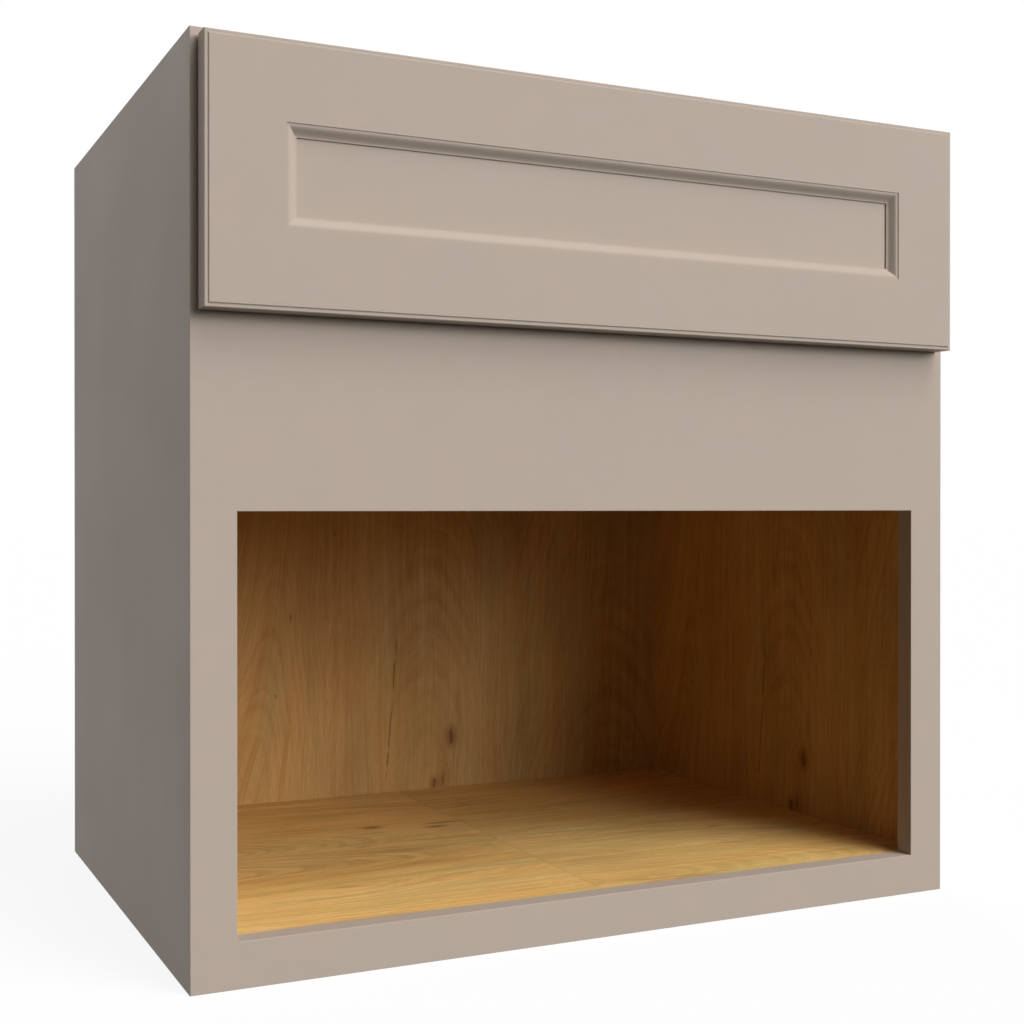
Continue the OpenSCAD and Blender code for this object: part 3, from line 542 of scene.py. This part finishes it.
def tinted(colour, tint):
    """A colour multiplied by a tint, or by one number, and never over white."""
    factors = tint if isinstance(tint, tuple) else (tint, tint, tint)
    return tuple(min(1.0, part * factor) for part, factor in zip(colour, factors))


def tinted_tones(tint):
    return [tinted(tone, tint) for tone in tones()]


@finish
def bay_veneer(tree, hand):
    """Sliced maple with upright grain: hand 0 is the back, -1 and 1 are the sides."""
    x, y, z = tree.place()
    across = x if hand == 0 else SIDE_SHIFT - y
    slant = (1 - tree.step(across, FAN_END, FAN_START)) * (z - FAN_FOOT) * -FAN_SLOPE
    # The back and the sides take the maple darkened as painted shade
    own = tinted_tones(BACK_PAINTED_SHADE if hand == 0 else WALL_PAINTED_SHADE)
    colour, relief = wood_colour(tree, across, z, 1.0, own, BOARD_KNOTS, BOARD_CRACKS, slant, rings=0.75)
    varnish(tree, colour, relief)


@finish
def bay_floor(tree):
    """Sliced maple laid from side to side in strips, with one butt joint."""
    x, y, _ = tree.place()
    strip = (y - FLOOR_SEAM) / STRIP_WIDTH
    cell = strip.floor() * 2.0 + (x > FLOOR_JOINT)
    # The floor takes the maple brightened as painted light
    own = tinted_tones(FLOOR_PAINTED_LIGHT)
    across = y + cell * STRIP_SHIFT
    colour, relief = wood_colour(tree, across, x, cell * STRIP_SEED + 4.0, own, rings=0.9)
    toned = (cell.scatter() * STRIP_SPREAD).fract()
    colour = tree.mix(toned * STRIP_SHARE, colour, STRIP_TONE, "MULTIPLY")
    edge = abs(strip.fract() - 0.5) * -STRIP_WIDTH + STRIP_WIDTH * 0.5
    butt = abs(x - FLOOR_JOINT)
    seam = (edge / JOINT_WIDTH).bell().larger((butt / JOINT_WIDTH).bell())
    colour = tree.mix(seam * JOINT_SHARE, colour, JOINT)
    for knot in FLOOR_KNOTS:
        colour = knot_colour(tree, y, x, knot, colour, tones()[1])
    varnish(tree, colour, relief)


@finish
def maple_face(tree, across, along, seed, lift):
    """Plain maple: across and along are the letters of the grain's axes, and lift is its brightness."""
    spot = dict(zip(AXES, tree.place()))
    colour, relief = wood_colour(tree, spot[across], spot[along], float(seed), tinted_tones(lift))
    varnish(tree, colour, relief)


# End grain: what its tone is multiplied by, its rings to the metre and how much they bow
END_TINT = (0.62, 0.50, 0.38)
END_RINGS_PER_METRE = 420
END_BOW = 9.0
# A ply's thickness and sway, the width of a line of glue as a share of two plies, and the tones of a ply
# that shows its ends
PLY = 1.55 * MM
PLY_SWAY = 0.35 * MM
GLUE_WIDTH = 0.035
PLY_END_PALE = (0.42, 0.27, 0.125)
PLY_END_DARK = (0.20, 0.11, 0.045)


@finish
def maple_end(tree, across, through, seed):
    """End grain: rings as shallow arcs, and open pores."""
    spot = dict(zip(AXES, tree.place()))
    a, b = spot[across], spot[through]
    wave = tree.noise(tree.join(a * 22, b * 22, float(seed)), detail=2.0)
    arc = (a * a * END_BOW + b + wave * 0.004) * END_RINGS_PER_METRE
    ring = (1 - arc.fract()) ** 2.0
    pore = tree.step(tree.noise(tree.join(a * 1500, b * 1500, float(seed)), detail=1.0), 0.10, 0.30)
    pale, dark = tones()
    colour = tree.mix(0.30 + ring * 0.40 + pore * 0.35 + wave * 0.4, pale, dark)
    colour = tree.mix(0.35, colour, END_TINT, "MULTIPLY")
    varnish(tree, colour, pore * -1.0, 0.62)


@finish
def plywood_edge(tree, through, along, seed):
    """The edge of a plywood board: thin plies, every other one showing its ends.

    ply runs from 0 to 1 over two plies: the second half shows its ends, between two lines of glue.
    """
    spot = dict(zip(AXES, tree.place()))
    depth, run = spot[through], spot[along]
    sway = tree.noise(tree.join(run * 24, depth * 90, float(seed)), detail=2.0) * PLY_SWAY
    ply = ((depth + sway) / (2 * PLY)).fract()
    ends = tree.step(ply, 0.46, 0.52) * (1 - tree.step(ply, 0.95, 1.0))
    glue = ((ply - 0.49) / GLUE_WIDTH).bell().larger(((ply - 0.98) / GLUE_WIDTH).bell())
    fibre = tree.noise(tree.join(run * 60, depth * 2500, float(seed)), detail=2.0)
    pores = tree.noise(tree.join(run * 1100, depth * 1700, float(seed)), detail=1.0)
    pale, dark = tones()
    colour = tree.mix(0.20 + fibre * 0.5, pale, dark)
    crossed = tree.mix(0.45 + pores * 0.9, PLY_END_PALE, PLY_END_DARK)
    colour = tree.mix(ends, colour, crossed)
    colour = tree.mix(glue * 0.55, colour, GLUE)
    varnish(tree, colour, pores * 0.8 + ends * -0.4, 0.7)


# ---------------------------------------------------------------- paint, metal, plastic


# Scale, per metre, of the paint's drift of colour, its clouds, its orange peel and the waves under that
PAINT_DRIFT = 26.0
PAINT_CLOUD = 9.0
PAINT_PEEL = 900.0
PAINT_WAVE = 210.0
# What the paint is multiplied by in its warm, its cool and its darker parts
WARM_PAINT = (1.012, 1.001, 0.988)
COOL_PAINT = (0.988, 0.998, 1.010)
DARKER_PAINT = (0.88, 0.88, 0.88)
# Height of the orange peel, of a moulding's texture and of brushing
PEEL_RELIEF = 0.03 * MM
MOULD_RELIEF = 0.03 * MM
BRUSH_RELIEF = 0.02 * MM
# Scale, per metre, of brushing along and across its lines, and of the spangle and clouds of plating
BRUSH_LONG = 60
BRUSH_FINE = 2600
SPANGLE = 240.0
PLATE_CLOUD = 30.0


@finish
def satin_paint(tree):
    """Sprayed paint: faint warm and cool drifts and a very fine orange peel."""
    spot = tree.spot()
    base = bpy.context.scene.cabinet_finishes.paint
    drift = tree.step(tree.noise(spot, PAINT_DRIFT, 3.0, 0.6), -0.25, 0.25)
    colour = tree.mix(drift, tinted(base, WARM_PAINT), tinted(base, COOL_PAINT))
    cloud = tree.noise(spot, PAINT_CLOUD)
    colour = tree.mix(cloud * 0.14 + 0.07, colour, DARKER_PAINT, "MULTIPLY")
    peel = tree.noise(spot, PAINT_PEEL, 2.0, 0.45) + tree.noise(spot, PAINT_WAVE, 1.0) * 0.6
    normal = tree.bump(peel, PEEL_RELIEF, 0.5)
    tree.finish(Base_Color=colour, Roughness=0.50 + cloud * 0.12, Normal=normal, Specular_IOR_Level=0.10)


def metal(tree, colour, dull, mottle, scratch, run="Y"):
    """Plated or drawn steel, brushed along the axis run: how dull, how mottled and how scratched it is."""
    spot = tree.spot()
    spangle = tree.noise(spot, SPANGLE, 2.0, 0.7)
    scales = (BRUSH_LONG if axis == run else BRUSH_FINE for axis in AXES)
    brush = tree.noise(tree.join(*(part * scale for part, scale in zip(tree.place(), scales))))
    wide = tree.noise(spot, PLATE_CLOUD)
    tone = tree.mix(0.5 + spangle * mottle + wide * mottle, colour, tinted(colour, 0.72))
    normal = tree.bump(brush * scratch + spangle * 0.2, BRUSH_RELIEF, 0.5)
    roughness = dull + spangle * 0.16 + brush * 0.08
    tree.finish(Base_Color=tone, Metallic=1.0, Roughness=roughness, Normal=normal)


@finish
def zinc_sheet(tree):
    """Bright zinc plating on pressed sheet steel."""
    metal(tree, (0.66, 0.67, 0.68), dull=0.34, mottle=0.5, scratch=0.5)


@finish
def bright_rod(tree):
    """Drawn steel of the dampers."""
    metal(tree, (0.70, 0.70, 0.70), dull=0.22, mottle=0.2, scratch=0.8)


@finish
def plated_screw(tree):
    """Yellow-grey zinc plating on the screws."""
    metal(tree, (0.66, 0.62, 0.50), dull=0.36, mottle=0.7, scratch=0.4, run="X")


@finish
def roller_cage(tree):
    """Darker plating of the rollers and of the cages that hold them."""
    metal(tree, (0.50, 0.50, 0.51), dull=0.30, mottle=0.3, scratch=0.3)


def moulded(tree, colour, dull, grain):
    """Moulded plastic with a fine texture, grain to the metre, and faint flow marks."""
    spot = tree.spot()
    texture = tree.noise(spot, grain, 3.0, 0.6)
    flow = tree.noise(spot, 55.0)
    tone = tree.mix(0.5 + flow * 0.7 + texture * 0.3, tinted(colour, 1.05), tinted(colour, 0.90))
    normal = tree.bump(texture, MOULD_RELIEF, 0.6)
    tree.finish(Base_Color=tone, Roughness=dull + texture * 0.14, Normal=normal)


@finish
def pale_nylon(tree):
    """Off-white moulded nylon."""
    moulded(tree, (0.66, 0.64, 0.58), dull=0.46, grain=1900.0)


@finish
def grey_nylon(tree):
    """Mid-grey moulded nylon."""
    moulded(tree, (0.30, 0.31, 0.32), dull=0.44, grain=1700.0)


@finish
def dark_nylon(tree):
    """Dark grey moulded nylon with a spark-eroded texture."""
    moulded(tree, (0.085, 0.088, 0.092), dull=0.50, grain=1500.0)


@finish
def slick_acetal(tree):
    """Smooth milky acetal of the catches and levers."""
    moulded(tree, (0.58, 0.57, 0.53), dull=0.28, grain=700.0)


@finish
def clear_rubber(tree):
    """Soft clear bumpers with a faint haze."""
    haze = tree.noise(tree.spot(), 600.0)
    colour = tree.mix(0.25 + haze * 0.5, (0.72, 0.72, 0.70), (0.55, 0.55, 0.53))
    tree.finish(Base_Color=colour, Roughness=0.32 + haze * 0.1, Transmission_Weight=0.35, IOR=1.49)


HARDWARE = {
    "brace_plastic": pale_nylon,
    "bracket_plastic": grey_nylon,
    "housing_plastic": dark_nylon,
    "clip_plastic": dark_nylon,
    "catch_plastic": slick_acetal,
    "lever_plastic": slick_acetal,
    "bumper_rubber": clear_rubber,
    "slide_steel": zinc_sheet,
    "roller_cage": roller_cage,
    "damper_steel": bright_rod,
    "screw_steel": plated_screw,
}


# ---------------------------------------------------------------- pieces


# Faces that turn by less than FLAT are joined into one, and an edge that turns by more than SHARP is shaded
# sharp. An edge is eased where it turns by more than CORNER and is longer than SHORT.
FLAT = math.radians(0.6)
SHARP = math.radians(32)
CORNER = math.radians(40)
SHORT = 3.0 * MM
# How squarely a face looks along an axis to count as facing that way
SQUARE = 0.7


def remake(node, materials, choose, eased, ease, cuts=()):
    """A piece's own mesh: flat faces joined up, chosen edges eased, and a material for each face.

    choose(normal) gives a face's place in materials, eased(a, b) says whether the edge from a to b is
    eased, and cuts are planes that divide long edges.
    """
    source = frame["nodes"][node]
    bm = bmesh.new()
    bm.from_mesh(source.data)
    bmesh.ops.remove_doubles(bm, verts=bm.verts, dist=WELD * 20)
    bmesh.ops.dissolve_limit(bm, angle_limit=FLAT, verts=bm.verts, edges=bm.edges)
    for point, normal in cuts:
        everything = bm.verts[:] + bm.edges[:] + bm.faces[:]
        bmesh.ops.bisect_plane(bm, geom=everything, dist=WELD, plane_co=point, plane_no=normal)
    bm.normal_update()
    corners = [edge for edge in bm.edges if worth_easing(edge)]
    chosen = [edge for edge in corners if eased(*(vert.co for vert in edge.verts))]
    if chosen and ease > 0:
        bmesh.ops.bevel(
            bm, geom=chosen, offset=ease, offset_type="OFFSET", segments=3, profile=0.5,
            affect="EDGES", clamp_overlap=True,
        )
    bm.normal_update()
    for face in bm.faces:
        face.material_index = choose(face.normal)
        face.smooth = True
    for edge in bm.edges:
        edge.smooth = edge.is_manifold and edge.calc_face_angle(0.0) < SHARP
    # An easing ends in tiny faces, which would tilt the shading of the large ones that they join
    for face in bm.faces:
        if face.calc_area() < ease * ease:
            for edge in face.edges:
                edge.smooth = False
    mesh = bpy.data.meshes.new(f"{node}_dressed")
    bm.to_mesh(mesh)
    bm.free()
    for material in materials:
        mesh.materials.append(material)
    piece = bpy.data.objects.new(f"{node}_dressed", mesh)
    bpy.context.scene.collection.objects.link(piece)
    weighted = piece.modifiers.new("Weighted normals", "WEIGHTED_NORMAL")
    weighted.keep_sharp = True
    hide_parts(node)
    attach(piece, BODY_OF[node])


def worth_easing(edge):
    """Whether an edge is an outer corner and long enough to be eased."""
    if not edge.is_manifold or edge.calc_length() < SHORT:
        return False
    return edge.calc_face_angle_signed(0.0) > CORNER


def every_edge(start, end):
    return True


def no_edge(start, end):
    return False


def one_material(normal):
    return 0


def facing(normal, axis, sign=0):
    """Whether a face looks along an axis, either way round or only along sign."""
    part = normal[AXES.index(axis)]
    return part * sign > SQUARE if sign else abs(part) > SQUARE


def board(node, face, edge, thin, ease):
    """A plywood board: two faces, and edges that show the plies."""

    def choose(normal):
        return 0 if facing(normal, thin) else 1

    remake(node, [face, edge], choose, every_edge, ease)


def plies(thin, seed):
    """Plywood edges for a board whose thickness runs along thin."""
    run = next(axis for axis in "ZXY" if axis != thin)
    return plywood_edge(thin, run, seed)


def solid_board(node, across, along, thin, seed, lift, ease):
    """A board of solid maple with end grain at its ends."""
    flat = maple_face(across, along, seed, lift)
    narrow = maple_face(thin, along, seed + 1, lift)
    end = maple_end(across, thin, seed)

    def choose(normal):
        if facing(normal, along):
            return 2
        return 0 if facing(normal, thin) else 1

    remake(node, [flat, narrow, end], choose, every_edge, ease)


def dress_side(hand, ease):
    """A side: painted outside, maple veneer inside."""
    sign = HANDS[hand]
    materials = [satin_paint(), bay_veneer(sign), plies("X", sign)]

    def choose(normal):
        if facing(normal, "X", sign):
            return 0
        return 1 if facing(normal, "X", -sign) else 2

    remake(f"{hand}_side", materials, choose, no_edge, ease)


def dress_carcass(ease):
    """Plywood boards, and the two solid boards across the back. The last numbers vary the grain."""
    for hand in HANDS:
        dress_side(hand, ease)
    board("bottom_deck", bay_floor(), plies("Z", 3), "Z", 0.0)
    # The ceiling's darker maple is painted shade
    board("bay_ceiling", maple_face("Y", "X", 21, CEILING_PAINTED_SHADE), plies("Z", 4), "Z", 0.0)
    board("back_panel", bay_veneer(0), plies("Y", 5), "Y", ease)
    for node, seed in (("top_back_rail", 31), ("bottom_back_cleat", 37)):
        solid_board(node, "Z", "X", "Y", seed, 1.0, ease)


def dress_face_frame(ease):
    """The painted frame. Edges are eased where they are open, never where two members meet."""
    levels = [BOTTOM_RAIL[1], *MID_RAIL, TOP_RAIL[0]]
    cuts = [((0, 0, level), (0, 0, 1)) for level in levels]
    openings = [(BOTTOM_RAIL[1], MID_RAIL[0]), (MID_RAIL[1], TOP_RAIL[0])]
    top = TOP_RAIL[1]
    outer = max(abs(corner.x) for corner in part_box("left_stile"))
    inner = min(abs(corner.x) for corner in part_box("left_stile"))
    near = WELD * 10

    def open_edge(start, end):
        if max(start.y, end.y) >= FRAME_FACE + 2 * WELD:
            return False
        middle = (start + end) / 2
        if abs(start.z - end.z) > WELD:
            at_side = abs(abs(middle.x) - outer) < near
            return at_side or any(low < middle.z < high for low, high in openings)
        on_stile = abs(middle.x) > inner
        return not on_stile or middle.z < near or middle.z > top - near

    for node in ("left_stile", "right_stile", "top_rail", "mid_rail", "bottom_rail"):
        remake(node, [satin_paint()], one_material, open_edge, ease, cuts if "stile" in node else ())


def dress_drawer_front():
    """Five painted members, whose mouldings and lip are in their solids."""
    for part in ("left_stile", "right_stile", "top_rail", "bottom_rail", "panel"):
        remake(f"front_{part}", [satin_paint()], one_material, no_edge, 0.0)


def dress_drawer_box(ease):
    """Dovetailed maple: the sides' grain runs back, the front's and the back's from side to side."""
    solid_board("box_left_side", "Z", "Y", "X", 41, BOX_LIFT, ease)
    solid_board("box_right_side", "Z", "Y", "X", 43, BOX_LIFT, ease)
    solid_board("box_front", "Z", "X", "Y", 47, BOX_LIFT, ease)
    solid_board("box_back", "Z", "X", "Y", 53, BOX_LIFT, ease)
    board("box_bottom", maple_face("X", "Y", 59, BOX_BOTTOM_LIFT), plies("Z", 6), "Z", 0.0)


def dress_hardware(slots):
    """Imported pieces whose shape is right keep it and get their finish."""
    for node, slot in SLOT_OF.items():
        if slot in slots:
            mesh = frame["nodes"][node].data
            mesh.materials.clear()
            mesh.materials.append(HARDWARE[slot]())


# ---------------------------------------------------------------- stage


class Lamp:
    """A soft sun, its azimuth to the right of the front, its elevation and its width in degrees."""

    def __init__(self, azimuth, elevation, width, strength, colour=(1.0, 1.0, 1.0)):
        self.azimuth = math.radians(azimuth)
        self.elevation = math.radians(elevation)
        self.width = math.radians(width)
        self.strength = strength
        self.colour = colour


WHITE = (1.0, 1.0, 1.0, 1.0)
# Half the floor's width, and the greys that it shows to the camera and to the object
FLOOR_REACH = 30.0
FLOOR_SEEN = (0.10, 0.10, 0.10, 1.0)
FLOOR_FELT = (0.06, 0.06, 0.06, 1.0)
# A sensor of this width, in millimetres, makes the lens the one that the photograph was fitted with
SENSOR = 36.0
# The side lamp fills the painted left side, and the back lamp serves the rear views only
LAMPS = {
    "Key": Lamp(33, 30, 36, 0.96),
    "Low front": Lamp(18, 13, 24, 0.66),
    "Low right": Lamp(47, 13, 24, 1.24),
    "High": Lamp(25, 57, 28, 0.82),
    "Top": Lamp(30, 70, 28, 0.72),
    "Side": Lamp(-105, 10, 30, 0.625, (0.98, 1.0, 1.02)),
    "Back": Lamp(170, 22, 30, 1.1),
}


def add_lamp(name, lamp, gain):
    """A sun that shines on the origin from where the lamp says."""
    light = bpy.data.lights.new(name, "SUN")
    light.energy = lamp.strength * gain
    light.angle = lamp.width
    light.color = lamp.colour
    sun = bpy.data.objects.new(name, light)
    bpy.context.scene.collection.objects.link(sun)
    flat = math.cos(lamp.elevation)
    shine = (-math.sin(lamp.azimuth) * flat, math.cos(lamp.azimuth) * flat, -math.sin(lamp.elevation))
    sun.rotation_euler = Vector(shine).to_track_quat("-Z", "Y").to_euler()


def add_camera(stage):
    """A camera where the photograph was taken from, as far as its edges tell."""
    camera = bpy.data.cameras.new("View")
    camera.lens = stage.lens
    camera.sensor_width = SENSOR
    camera.shift_x = stage.shift
    camera.clip_end = 100.0
    viewer = bpy.data.objects.new("View", camera)
    bpy.context.scene.collection.objects.link(viewer)
    viewer.location = stage.eye
    viewer.rotation_euler = (math.pi / 2 + stage.tilt, 0.0, -stage.turn)
    bpy.context.scene.camera = viewer


def seen_directly(tree):
    """One for what the camera sees, straight on or in a reflection or through glass."""
    path = tree.node("ShaderNodeLightPath")
    mirrored = path.other("Is Glossy Ray").larger(path.other("Is Transmission Ray"))
    return path.other("Is Camera Ray").larger(mirrored)


def add_world(stage):
    """Plain light from all round, and white for whatever is seen."""
    world = bpy.data.worlds.new("Room")
    bpy.context.scene.world = world
    tree = Tree(world)
    plain = tree.node("ShaderNodeBackground", inputs={"Color": WHITE, "Strength": stage.ambient})
    white = tree.node("ShaderNodeBackground", inputs={"Color": WHITE, "Strength": 1.0})
    shown = tree.node("ShaderNodeMixShader", inputs={0: seen_directly(tree), 1: plain, 2: white})
    tree.node("ShaderNodeOutputWorld", inputs={"Surface": shown})


def add_floor(stage):
    """A floor that looks white round the shadow and throws little light back at the object."""
    mesh = bpy.data.meshes.new("floor")
    corners = [(x, y, 0.0) for x, y in ((-1, -1), (1, -1), (1, 1), (-1, 1))]
    mesh.from_pydata([tuple(FLOOR_REACH * c for c in corner) for corner in corners], [], [(0, 1, 2, 3)])
    floor = bpy.data.objects.new("floor", mesh)
    bpy.context.scene.collection.objects.link(floor)
    material = bpy.data.materials.new("pale_floor")
    tree = Tree(material)
    bounce = tree.node("ShaderNodeBsdfDiffuse", inputs={"Color": FLOOR_FELT})
    matt = tree.node("ShaderNodeBsdfDiffuse", inputs={"Color": FLOOR_SEEN})
    glow = tree.node("ShaderNodeEmission", inputs={"Color": WHITE, "Strength": stage.floor_lift})
    white = tree.node("ShaderNodeAddShader", inputs={0: matt, 1: glow})
    shown = tree.node("ShaderNodeMixShader", inputs={0: seen_directly(tree), 1: bounce, 2: white})
    tree.node("ShaderNodeOutputMaterial", inputs={"Surface": shown})
    mesh.materials.append(material)


# ---------------------------------------------------------------- add-on


class CabinetSizes(bpy.types.PropertyGroup):
    """Sizes of what the finishing adds."""

    frame_ease: bpy.props.FloatProperty(
        name="Frame edge", description="Radius of the face frame's open edges",
        default=0.5 * MM, min=0.0, max=2 * MM, unit="LENGTH",
    )
    board_ease: bpy.props.FloatProperty(
        name="Board edge", description="Radius of the boards' sanded edges",
        default=0.4 * MM, min=0.0, max=2 * MM, unit="LENGTH",
    )
    box_ease: bpy.props.FloatProperty(
        name="Drawer box edge", description="Radius of the drawer box's sanded edges",
        default=0.6 * MM, min=0.0, max=2 * MM, unit="LENGTH",
    )


class CabinetFinishes(bpy.types.PropertyGroup):
    """Colours of the paint and of the wood."""

    paint: bpy.props.FloatVectorProperty(
        name="Paint", description="Colour of the satin paint",
        default=(0.478, 0.398, 0.333), min=0.0, max=1.0, subtype="COLOR",
    )
    maple_pale: bpy.props.FloatVectorProperty(
        name="Pale maple", description="Colour of the wood between its lines",
        default=(0.74, 0.50, 0.205), min=0.0, max=1.0, subtype="COLOR",
    )
    maple_dark: bpy.props.FloatVectorProperty(
        name="Dark maple", description="Colour of the wood's darker lines",
        default=(0.41, 0.215, 0.070), min=0.0, max=1.0, subtype="COLOR",
    )


class CabinetStage(bpy.types.PropertyGroup):
    """Camera, lamps and floor."""

    eye: bpy.props.FloatVectorProperty(
        name="Eye", description="Where the camera stands",
        default=(-0.65638, -1.38818, 0.38431), subtype="TRANSLATION", unit="LENGTH",
    )
    turn: bpy.props.FloatProperty(
        name="Turn", description="How far the camera turns to the right",
        default=0.437058, subtype="ANGLE",
    )
    tilt: bpy.props.FloatProperty(
        name="Tilt", description="How far the camera looks up",
        default=-0.003254, subtype="ANGLE",
    )
    lens: bpy.props.FloatProperty(
        name="Lens", description="Focal length on a 36 mm sensor", default=51.1995, min=10.0,
    )
    shift: bpy.props.FloatProperty(
        name="Shift", description="Sideways shift of the frame", default=0.028681,
    )
    ambient: bpy.props.FloatProperty(
        name="Ambient", description="Strength of the light from all round", default=0.07, min=0.0,
    )
    gain: bpy.props.FloatProperty(
        name="Lamps", description="Strength of all the lamps together", default=1.0, min=0.0,
    )
    floor_lift: bpy.props.FloatProperty(
        name="Floor lift", description="How much brighter the floor is where it is seen",
        default=0.90, min=0.0,
    )


class CarcassOperator(bpy.types.Operator):
    """Finishes the sides, floor, ceiling, back and rear rails"""

    bl_idname = "cabinet.carcass"
    bl_label = "Carcass"

    def execute(self, context):
        dress_carcass(context.scene.cabinet_sizes.board_ease)
        return {"FINISHED"}


class FaceFrameOperator(bpy.types.Operator):
    """Finishes the painted face frame"""

    bl_idname = "cabinet.face_frame"
    bl_label = "Face frame"

    def execute(self, context):
        dress_face_frame(context.scene.cabinet_sizes.frame_ease)
        return {"FINISHED"}


class DrawerFrontOperator(bpy.types.Operator):
    """Finishes the five pieces of the drawer front and its bumpers"""

    bl_idname = "cabinet.drawer_front"
    bl_label = "Drawer front"

    def execute(self, context):
        dress_drawer_front()
        dress_hardware(["bumper_rubber"])
        return {"FINISHED"}


class DrawerBoxOperator(bpy.types.Operator):
    """Finishes the dovetailed drawer box"""

    bl_idname = "cabinet.drawer_box"
    bl_label = "Drawer box"

    def execute(self, context):
        dress_drawer_box(context.scene.cabinet_sizes.box_ease)
        return {"FINISHED"}


class SlidesOperator(bpy.types.Operator):
    """Finishes the slides, their rollers, rear brackets and dampers"""

    bl_idname = "cabinet.slides"
    bl_label = "Slides"

    def execute(self, context):
        dress_hardware(["slide_steel", "roller_cage", "bracket_plastic", "damper_steel"])
        return {"FINISHED"}


class FittingsOperator(bpy.types.Operator):
    """Finishes the corner braces, clips, levers, soft-close units and screws"""

    bl_idname = "cabinet.fittings"
    bl_label = "Fittings"

    def execute(self, context):
        dress_hardware(["brace_plastic", "housing_plastic", "clip_plastic"])
        dress_hardware(["catch_plastic", "lever_plastic", "screw_steel"])
        return {"FINISHED"}


class StageOperator(bpy.types.Operator):
    """Adds the camera, the lamps, the floor and the room's light"""

    bl_idname = "cabinet.stage"
    bl_label = "Stage"

    def execute(self, context):
        stage = context.scene.cabinet_stage
        context.scene.view_settings.view_transform = "Standard"
        add_camera(stage)
        add_world(stage)
        add_floor(stage)
        for name, lamp in LAMPS.items():
            add_lamp(name, lamp, stage.gain)
        return {"FINISHED"}


class CabinetPanel(bpy.types.Panel):
    """Lists the cabinet's settings and steps"""

    bl_idname = "VIEW3D_PT_cabinet"
    bl_label = "Cabinet"
    bl_space_type = "VIEW_3D"
    bl_region_type = "UI"
    bl_category = "Cabinet"

    def draw(self, context):
        for name in SETTINGS:
            settings = getattr(context.scene, name)
            for key in settings.bl_rna.properties.keys():
                if key not in ("rna_type", "name"):
                    self.layout.prop(settings, key)
        for step in STEPS:
            self.layout.operator(step.bl_idname)


STEPS = (
    CarcassOperator, FaceFrameOperator, DrawerFrontOperator, DrawerBoxOperator,
    SlidesOperator, FittingsOperator, StageOperator,
)
SETTINGS = {
    "cabinet_sizes": CabinetSizes,
    "cabinet_finishes": CabinetFinishes,
    "cabinet_stage": CabinetStage,
}


def register():
    for item in (*SETTINGS.values(), *STEPS, CabinetPanel):
        bpy.utils.register_class(item)
    for name, group in SETTINGS.items():
        setattr(bpy.types.Scene, name, bpy.props.PointerProperty(type=group))


def unregister():
    for name in SETTINGS:
        delattr(bpy.types.Scene, name)
    for item in reversed((*SETTINGS.values(), *STEPS, CabinetPanel)):
        bpy.utils.unregister_class(item)


def main():
    register()
    for step in STEPS:
        family, name = step.bl_idname.split(".")
        getattr(getattr(bpy.ops, family), name)()


if __name__ == "__main__":
    main()
